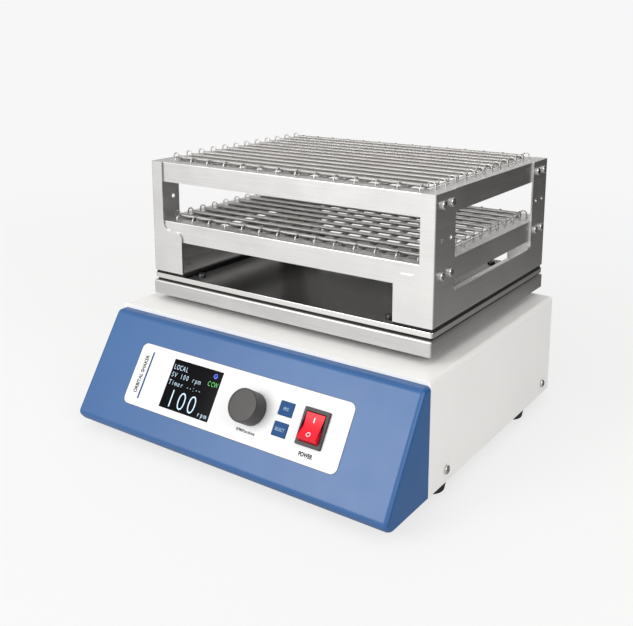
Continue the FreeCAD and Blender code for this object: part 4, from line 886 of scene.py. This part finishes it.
class SHAKER_OT_power_switch(Operator):
    """Builds the rocker switch, its frame and its marks"""

    bl_idname = "shaker.power_switch"
    bl_label = "Power switch"

    def execute(self, context):
        spot = on_panel(*SWITCH_SPOT)
        top = LABEL_SKIN + 2.3
        frame_half, well_half, body_depth = (12.75, 15.75), (9.75, 12.7), 16.4
        housing = flat_block(*frame_half, LABEL_SKIN, top)
        push_faces(housing, faces_down, 1.5 * MM, mm(0, 0, -body_depth))
        round_edges(housing, 1.2 * MM, 5, upright_above(LABEL_SKIN * MM))
        round_edges(housing, 0.6 * MM, 4, at_height(top * MM))
        cut(housing, [flat_block(*well_half, -12, 10)])
        blades = [flat_block(1.0, 3.1, -23, -16, 0, y) for y in (-8, 8)]
        housing = place(join([housing] + blades), spot)
        settle("switch_frame", housing, "base", "switch_black", "switch_black", "switch_housing")
        crest, radius, half, lean = top + 0.4, 12.4, 9.45, math.radians(24)
        rocker = rod(mm(-half, 0, 0), mm(half, 0, 0), radius * MM, 128)
        below, above = flat_block(12, 14, -20, -4.5), flat_block(12, 14, crest, 30)
        slice_off(above, mm(0, 0, crest), (0, -math.sin(lean), -math.cos(lean)))
        cut(rocker, [below, above])

        def is_rim(a, b):
            across = abs(a.x - b.x)
            at_side = abs(abs(a.x) - half * MM) < NEAR and across < NEAR
            at_ridge = abs(a.y) < NEAR and abs(b.y) < NEAR
            on_top = min(a.z, b.z) > (crest - 0.02) * MM
            return (at_side or across > half * MM) and on_top and not at_ridge

        round_edges(rocker, 0.45 * MM, 3, is_rim)
        pins = [
            rod(mm(side * (half - 0.5), 0, 0), mm(side * (half + 1.1), 0, 0), 1.5 * MM, 24)
            for side in (-1, 1)
        ]
        rocker = place(join([rocker] + pins), spot)
        settle("rocker_cap", rocker, "power_switch", "switch_red", "rocker_red", "power_rocker")
        ridge = spot @ shift(0, 0, crest)
        on_mark = place(flat_mark(0.45, 2.1), ridge @ shift(0, 6.2, 0))
        tilt = Matrix.Rotation(-lean, 4, "X") @ shift(0, -6.6, 0)
        marks = join([on_mark, place(ring_mark(2.0, 0.5), ridge @ tilt)])
        settle_print("rocker_marks", marks, "power_switch", "switch_red", "white_ink")
        return {"FINISHED"}


# ---- platform and rack
class SHAKER_OT_platform(Operator):
    """Builds the moving tray under the rack"""

    bl_idname = "shaker.platform"
    bl_label = "Platform"

    def execute(self, context):
        tray = block(TRAY_LOW, TRAY_HIGH)
        at_top = at_height(TRAY_HIGH.z)
        round_edges(tray, 2.0 * MM, 4, lambda a, b: upright(a, b) or at_top(a, b))
        remove_faces(tray, faces_down)
        thicken(tray, context.scene.shaker.sheet)
        settle("platform_shell", tray, "platform", "stainless", "platform_steel", "platform_tray")
        return {"FINISHED"}


class SHAKER_OT_side_panels(Operator):
    """Builds the rack's two folded side panels"""

    bl_idname = "shaker.side_panels"
    bl_label = "Side panels"

    def execute(self, context):
        low, high = PANEL_LOW, PANEL_HIGH
        step, flange, flange_round = low.z + 43 * MM, 14 * MM, 8 * MM
        window_edge, window_low = 36.5 * MM, low.z + 24 * MM
        past, past_top = 10 * MM, 9 * MM
        panel = block(low, high)
        remove_faces(panel, lambda c, n: faces_up(c, n) or n.x < -FACING)

        def is_fold(a, b):
            on_side = a.x > high.x - NEAR and b.x > high.x - NEAR
            return on_side and (upright(a, b) or at_height(low.z)(a, b))

        def is_flange_corner(a, b):
            inner = all(v.x < low.x + NEAR and abs(v.z - step) < NEAR for v in (a, b))
            return inner and abs(a.y - b.y) < 3 * MM

        round_edges(panel, 1.4 * MM, 4, is_fold)
        thicken(panel, context.scene.shaker.sheet)
        opening = block(
            (low.x - past, low.y - past, step), (high.x - flange, high.y + past, high.z + past)
        )
        at_step = at_height(step)
        round_edges(opening, flange_round, 10, lambda a, b: at_step(a, b) and min(a.x, b.x) > low.x)
        window = block(
            (high.x - 8 * MM, low.y + window_edge, window_low),
            (high.x + 8 * MM, high.y - window_edge, high.z + past_top),
        )
        at_sill = at_height(window_low)
        round_edges(window, 4 * MM, 6, lambda a, b: abs(a.x - b.x) > past and at_sill(a, b))
        tools, through = [opening, window], mm(7, 0, 0)
        for drop in HOLE_STEPS:
            for y in SCREW_ROWS:
                spot = Vector((high.x, PLATFORM_Y + y * MM, high.z - (drop + SCREW_DROP) * MM))
                tools.append(rod(spot - through, spot + through, 2.2 * MM, 24))
        cut(panel, tools)
        round_edges(panel, flange_round, 10, is_flange_corner)
        left = face_out(copy_of(panel, Matrix.Diagonal((-1, 1, 1, 1))))
        settle("right_rack_side", panel, "platform", "stainless", "stainless", "right_side_panel")
        settle("left_rack_side", left, "platform", "stainless", "stainless", "left_side_panel")
        return {"FINISHED"}


def rows(number, reach):
    return [reach * (2 * i / (number - 1) - 1) for i in range(number)]


class SHAKER_OT_tiers(Operator):
    """Builds the two angle frames that hold the springs"""

    bl_idname = "shaker.tiers"
    bl_label = "Tier frames"

    def execute(self, context):
        look = context.scene.shaker
        flange, hook_hole, above = 16 * MM, 1.2 * MM, 5 * MM
        for word, node in TIERS.items():
            low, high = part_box(node)
            reach_x, reach_y = high.x, (high.y - low.y) / 2

            def is_outside(a, b):
                gaps = [abs(a.x - e.x) + abs(b.x - e.x) for e in (low, high)]
                gaps += [abs(a.y - e.y) + abs(b.y - e.y) for e in (low, high)]
                return at_height(high.z)(a, b) and min(gaps) < NEAR

            def is_inner_corner(a, b):
                return upright(a, b) and abs(abs(a.x) - (high.x - flange)) < NEAR

            tier = block(low, high)
            remove_faces(tier, faces_down)
            remove_faces(tier, faces_up, inset=flange)
            round_edges(tier, 1.0 * MM, 4, lambda a, b: is_outside(a, b) or upright(a, b))
            thicken(tier, look.sheet)
            round_edges(tier, 3 * MM, 6, is_inner_corner)
            long_rows = rows(look.long_springs, reach_x - LONG_EDGE)
            cross_rows = rows(look.cross_springs, reach_y - CROSS_EDGE)
            spots = [(x, s * (reach_y - HOOK_EDGE)) for x in long_rows for s in (-1, 1)]
            spots += [(s * (reach_x - HOOK_EDGE), y) for y in cross_rows for s in (-1, 1)]
            hole = rod((0, 0, high.z - above), (0, 0, high.z + above), hook_hole, 12)
            cut(tier, repeat(hole, [Matrix.Translation((x, PLATFORM_Y + y, 0)) for x, y in spots]))
            settle(word + "_tier_angle", tier, "platform", "stainless", "stainless", node)
        return {"FINISHED"}


def spring_along_x(half_length, lift, look):
    """One close-wound spring about the origin with a wire hook at each end."""
    wire, coil = look.wire_radius, look.spring_radius
    hook_wire, hook_arc, hook_foot = 1.5 * wire, 3.6 * MM, -3.0 * MM
    body = half_length - HOOK_EDGE - 2 * hook_arc
    pitch = 2 * wire
    turns = round(2 * body / pitch)
    clear()
    bpy.ops.mesh.primitive_circle_add(vertices=6, radius=wire, rotation=(math.pi / 2, 0, 0))
    profile = place(bpy.context.object, Matrix.Translation((coil - wire, 0, 0)))
    with editing(profile, "VERT"):
        pick(profile, "verts", lambda vert: vert.co.x < coil - 1.2 * wire)
        bpy.ops.mesh.delete(type="VERT")
    modify(
        profile, "SCREW", axis="Z", angle=math.tau, screw_offset=pitch, iterations=turns, steps=8,
        render_steps=8, use_merge_vertices=False, use_smooth_shade=True,
    )
    with editing(profile, "VERT", "SELECT"):
        bpy.ops.mesh.remove_doubles(threshold=0.02 * MM)
        close_ends()
    along = Matrix.Translation((0, 0, lift)) @ Matrix.Rotation(math.pi / 2, 4, "Y")
    face_out(place(profile, along @ Matrix.Translation((0, 0, -turns * pitch / 2))))
    start, rise = body - wire, max(lift, 0.0) + 0.3 * MM
    clear()
    bpy.ops.mesh.primitive_circle_add(vertices=8, radius=hook_wire, location=(start, 0, lift))
    hook = bake_place(bpy.context.object)
    with editing(hook, "EDGE", "SELECT"):
        extrude((0, 0, rise - lift))
        bpy.ops.mesh.spin(
            steps=5, angle=math.pi, center=(start + hook_arc, 0, rise), axis=(0, -1, 0), dupli=False
        )
        extrude((0, 0, hook_foot - rise))
        close_ends()
    face_out(hook)
    return join([profile, hook, copy_of(hook, Matrix.Rotation(math.pi, 4, "Z"))])


class SHAKER_OT_springs(Operator):
    """Builds the springs of both tiers, the long ones under the cross ones"""

    bl_idname = "shaker.springs"
    bl_label = "Springs"

    def execute(self, context):
        look = context.scene.shaker
        low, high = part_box("upper_tier_frame")
        half_x, half_y = high.x, (high.y - low.y) / 2
        long_lift = -1.5 * MM
        cross_lift = long_lift + 2 * look.spring_radius + 0.2 * MM
        springs = {}
        long_reach, cross_reach = half_x - LONG_EDGE, half_y - CROSS_EDGE
        for name, half, lift, turn, number, reach in (
            ("long", half_y, long_lift, math.pi / 2, look.long_springs, Vector((long_reach, 0, 0))),
            ("cross", half_x, cross_lift, 0.0, look.cross_springs, Vector((0, cross_reach, 0))),
        ):
            row = place(spring_along_x(half, lift, look), Matrix.Rotation(turn, 4, "Z"))
            place(row, Matrix.Translation(Vector((0, PLATFORM_Y, 0)) - reach))
            springs[name] = modify(
                row, "ARRAY", count=number, use_relative_offset=False, use_constant_offset=True,
                constant_offset_displace=reach * 2 / (number - 1),
            )
        for word, node in TIERS.items():
            for name, row in springs.items():
                piece = copy_of(row, Matrix.Translation((0, 0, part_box(node)[1].z)))
                settle(
                    f"{word}_{name}_springs", piece, "platform", "spring_steel", "spring_steel",
                    f"{word}_springs", crease=75, weighted=False,
                )
        for row in springs.values():
            bpy.data.objects.remove(row)
        return {"FINISHED"}


# ---- screws
SCREW_HEAD = 4.0 * MM


def pan_screw(length_mm):
    """A pan-head screw along -Z with a cross recess, its head sitting on z = 0."""
    height, shank = 2.6 * MM, 2.0 * MM
    arm, slot, floor = 2.3, 0.5, 1.4
    piece = rod((0, 0, 0), (0, 0, height), SCREW_HEAD, 32)
    round_edges(piece, 1.5 * MM, 5, at_height(height))
    push_faces(piece, faces_down, SCREW_HEAD - shank, mm(0, 0, -length_mm))
    for halves in ((arm, slot), (slot, arm)):
        cut(piece, [flat_block(*halves, floor, 4.0)])
    return piece


def screw_set(name, node, body, length_mm, spots):
    """Copies one screw to every (place, direction out) and joins them."""
    places = []
    for index, (spot, out) in enumerate(spots):
        turn = Vector((0, 0, 1)).rotation_difference(Vector(out)).to_matrix().to_4x4()
        spin = Matrix.Rotation(math.radians(37.0 * index), 4, "Z")
        places.append(Matrix.Translation(spot) @ turn @ spin)
    settle(name, join(repeat(pan_screw(length_mm), places)), body, "fastener", "fastener", node)


class SHAKER_OT_screws(Operator):
    """Builds the screws of the rack and of the cover"""

    bl_idname = "shaker.screws"
    bl_label = "Screws"

    def execute(self, context):
        rack = []
        for node in TIERS.values():
            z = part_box(node)[1].z - SCREW_DROP * MM
            rows_y = [PLATFORM_Y + y * MM for y in SCREW_ROWS]
            rack += [((s * PANEL_HIGH.x, y, z), (s, 0, 0)) for s in (-1, 1) for y in rows_y]
        screw_set("rack_screw_set", "rack_screws", "platform", 7.2, rack)
        low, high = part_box("cover_screws")
        ends, z = (low.y + SCREW_HEAD, high.y - SCREW_HEAD), (low.z + high.z) / 2
        cover = [((s * COVER_HIGH.x, y, z), (s, 0, 0)) for s in (-1, 1) for y in ends]
        screw_set("cover_screw_set", "cover_screws", "base", 7.0, cover)
        return {"FINISHED"}


# ---- kept frame pieces
KEPT_FINISHES = {
    "zinc_steel": ("base_plate", "encoder_body", "deck_posts", "counterweight", *CRANK_NODES),
    "display_case": ("display_module",),
    "board_green": ("control_board",),
    "fastener": (
        "encoder_nut", "foot_screws", "foot_nuts", "bezel_screws", "deck_screws", "platform_nuts",
    ),
    "dark_steel": ("platform_screws",),
    "contact_metal": ("encoder_shaft", "inlet_pins"),
    "switch_black": ("encoder_plunger", "key_switches"),
    "inlet_black": ("inlet_housing", "fuse_drawer"),
    "aluminium": (
        "power_supply", "bearing_deck", "bearing_housings", "motor_pulley", "drive_pulley",
        "carrier_plate",
    ),
    "bearing_steel": (
        "deck_bearings", "motor_shaft", "carrier_bearings", *(n + "_races" for n in CRANK_NODES),
    ),
    "motor_black": ("motor_housing",),
    "belt_rubber": ("drive_belt",),
    "black_rubber": ("rubber_mats",),
    # The rack base plate's dark floor comes from the painted shade in mirror_steel.
    "mirror_steel": ("rack_base_plate",),
}


class SHAKER_OT_kept_pieces(Operator):
    """Gives the frame's own pieces their finishes"""

    bl_idname = "shaker.kept_pieces"
    bl_label = "Frame pieces"

    def execute(self, context):
        for finish, nodes in KEPT_FINISHES.items():
            for node in nodes:
                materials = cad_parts[node].data.materials
                materials.clear()
                materials.append(FINISHES[finish])
        return {"FINISHED"}


# ---- stage
BACKDROP = (0.93, 0.93, 0.93, 1.0)
CAMERA_SPOT = (0.4683, -0.6804, 0.3839)
CAMERA_DOWN, CAMERA_TURN = math.radians(11.26), math.radians(35.12)
CAMERA_LENS, CAMERA_SHIFT = 48.89, -0.1785


def paper_finish():
    """White paper that takes a soft shadow and fades into the backdrop."""
    made = Finish("floor_paper", Roughness=0.9)
    made.feed("Base Color", made.blend(made.noise(3.0), (0.180,) * 3, (0.188,) * 3))
    away = made.node("VectorMath", {"operation": "LENGTH"}, {0: made.spot}, "Value")
    far = made.node("Emission", None, {"Color": BACKDROP, "Strength": 1.0})
    glow = made.node("Emission", None, {"Color": BACKDROP, "Strength": 0.735})
    near = made.node("AddShader", None, {0: made.surface, 1: glow})
    inputs = {0: made.ramp(away, 0.5, 1.6), 1: near, 2: far}
    made.show(made.node("MixShader", None, inputs))
    return made.material


def light_room(world):
    """Soft light from four sides and a plain backdrop."""
    world.use_nodes = True
    room = Recipe(world.node_tree)
    spot = room.node("TexCoord", output="Generated")

    def toward(*direction):
        inputs = {0: spot, 1: Vector(direction).normalized()}
        return room.node("VectorMath", {"operation": "DOT_PRODUCT"}, inputs, "Value")

    rise = room.node("SeparateXYZ", None, {"Vector": spot}, "Z")
    front, rear = toward(-0.22, -0.97, 0.10), toward(-0.45, 0.85, 0.28)
    light = 0.06
    for share, wire, low, high in (
        (0.55, front, -0.35, 0.55),
        (0.62, front, 0.60, 0.98),
        (0.45, rise, 0.22, 0.75),
        (0.34, 0 - rise, 0.10, 0.50),
        (0.55, rear, 0.70, 0.95),
    ):
        light = light + share * room.ramp(wire, low, high)
    surround = room.node("Background", None, {"Color": (1.0, 0.985, 0.97, 1), "Strength": light})
    backdrop = room.node("Background", None, {"Color": BACKDROP})
    seen = room.node("LightPath", output="Is Camera Ray")
    mixed = room.node("MixShader", None, {0: seen, 1: surround, 2: backdrop})
    room.node("OutputWorld", None, {"Surface": mixed}, None)


def soft_lamp(name, spot, size, power):
    """A round area lamp that faces the shaker's middle."""
    clear()
    bpy.ops.object.light_add(type="AREA", location=spot)
    lamp = bpy.context.object
    lamp.name = name
    lamp.rotation_euler = (mm(0, 0, 120) - Vector(spot)).to_track_quat("-Z", "Y").to_euler()
    lamp.data.shape = "DISK"
    lamp.data.size = size
    lamp.data.energy = power


class SHAKER_OT_stage(Operator):
    """Builds the floor, the light and the camera"""

    bl_idname = "shaker.stage"
    bl_label = "Stage"

    def execute(self, context):
        scene = context.scene
        clear()
        bpy.ops.mesh.primitive_plane_add(size=60.0)
        floor = bpy.context.object
        floor.name = "studio_floor"
        floor.visible_glossy = False
        floor.data.materials.append(paper_finish())
        scene.world = bpy.data.worlds.new("studio")
        light_room(scene.world)
        soft_lamp("key_light", (-0.78, -1.78, 1.05), 1.2, 24.0)
        soft_lamp("side_light", (1.9, -0.7, 1.1), 1.1, 20.0)
        soft_lamp("top_light", (0.1, 0.3, 2.2), 1.6, 4.0)
        clear()
        turn = (math.pi / 2 - CAMERA_DOWN, 0, CAMERA_TURN)
        bpy.ops.object.camera_add(location=CAMERA_SPOT, rotation=turn)
        camera = bpy.context.object
        camera.name = "studio_camera"
        camera.data.lens = CAMERA_LENS
        camera.data.shift_y = CAMERA_SHIFT
        camera.data.clip_start = 0.01
        scene.camera = camera
        scene.view_settings.view_transform = "Standard"
        return {"FINISHED"}


class SHAKER_PT_pieces(Panel):
    """Lists the settings and the pieces in the sidebar"""

    bl_label = "Orbital Shaker"
    bl_idname = "SHAKER_PT_pieces"
    bl_space_type = "VIEW_3D"
    bl_region_type = "UI"
    bl_category = "Shaker"

    def draw(self, context):
        for key in ShakerSettings.__annotations__:
            self.layout.prop(context.scene.shaker, key)
        for operator in OPERATORS:
            self.layout.operator(operator.bl_idname)


OPERATORS = (
    SHAKER_OT_stage, SHAKER_OT_cover, SHAKER_OT_bezel, SHAKER_OT_feet, SHAKER_OT_label,
    SHAKER_OT_display, SHAKER_OT_knob, SHAKER_OT_keys, SHAKER_OT_power_switch,
    SHAKER_OT_platform, SHAKER_OT_side_panels, SHAKER_OT_tiers, SHAKER_OT_springs,
    SHAKER_OT_screws, SHAKER_OT_kept_pieces,
)


CLASSES = (ShakerSettings, *OPERATORS, SHAKER_PT_pieces)


def register():
    for kind in CLASSES:
        bpy.utils.register_class(kind)
    bpy.types.Scene.shaker = PointerProperty(type=ShakerSettings)


def unregister():
    del bpy.types.Scene.shaker
    for kind in reversed(CLASSES):
        bpy.utils.unregister_class(kind)


def main():
    register()
    make_finishes(bpy.context.scene.shaker)
    for operator in OPERATORS:
        group, name = operator.bl_idname.split(".")
        getattr(getattr(bpy.ops, group), name)()


if __name__ == "__main__":
    main()
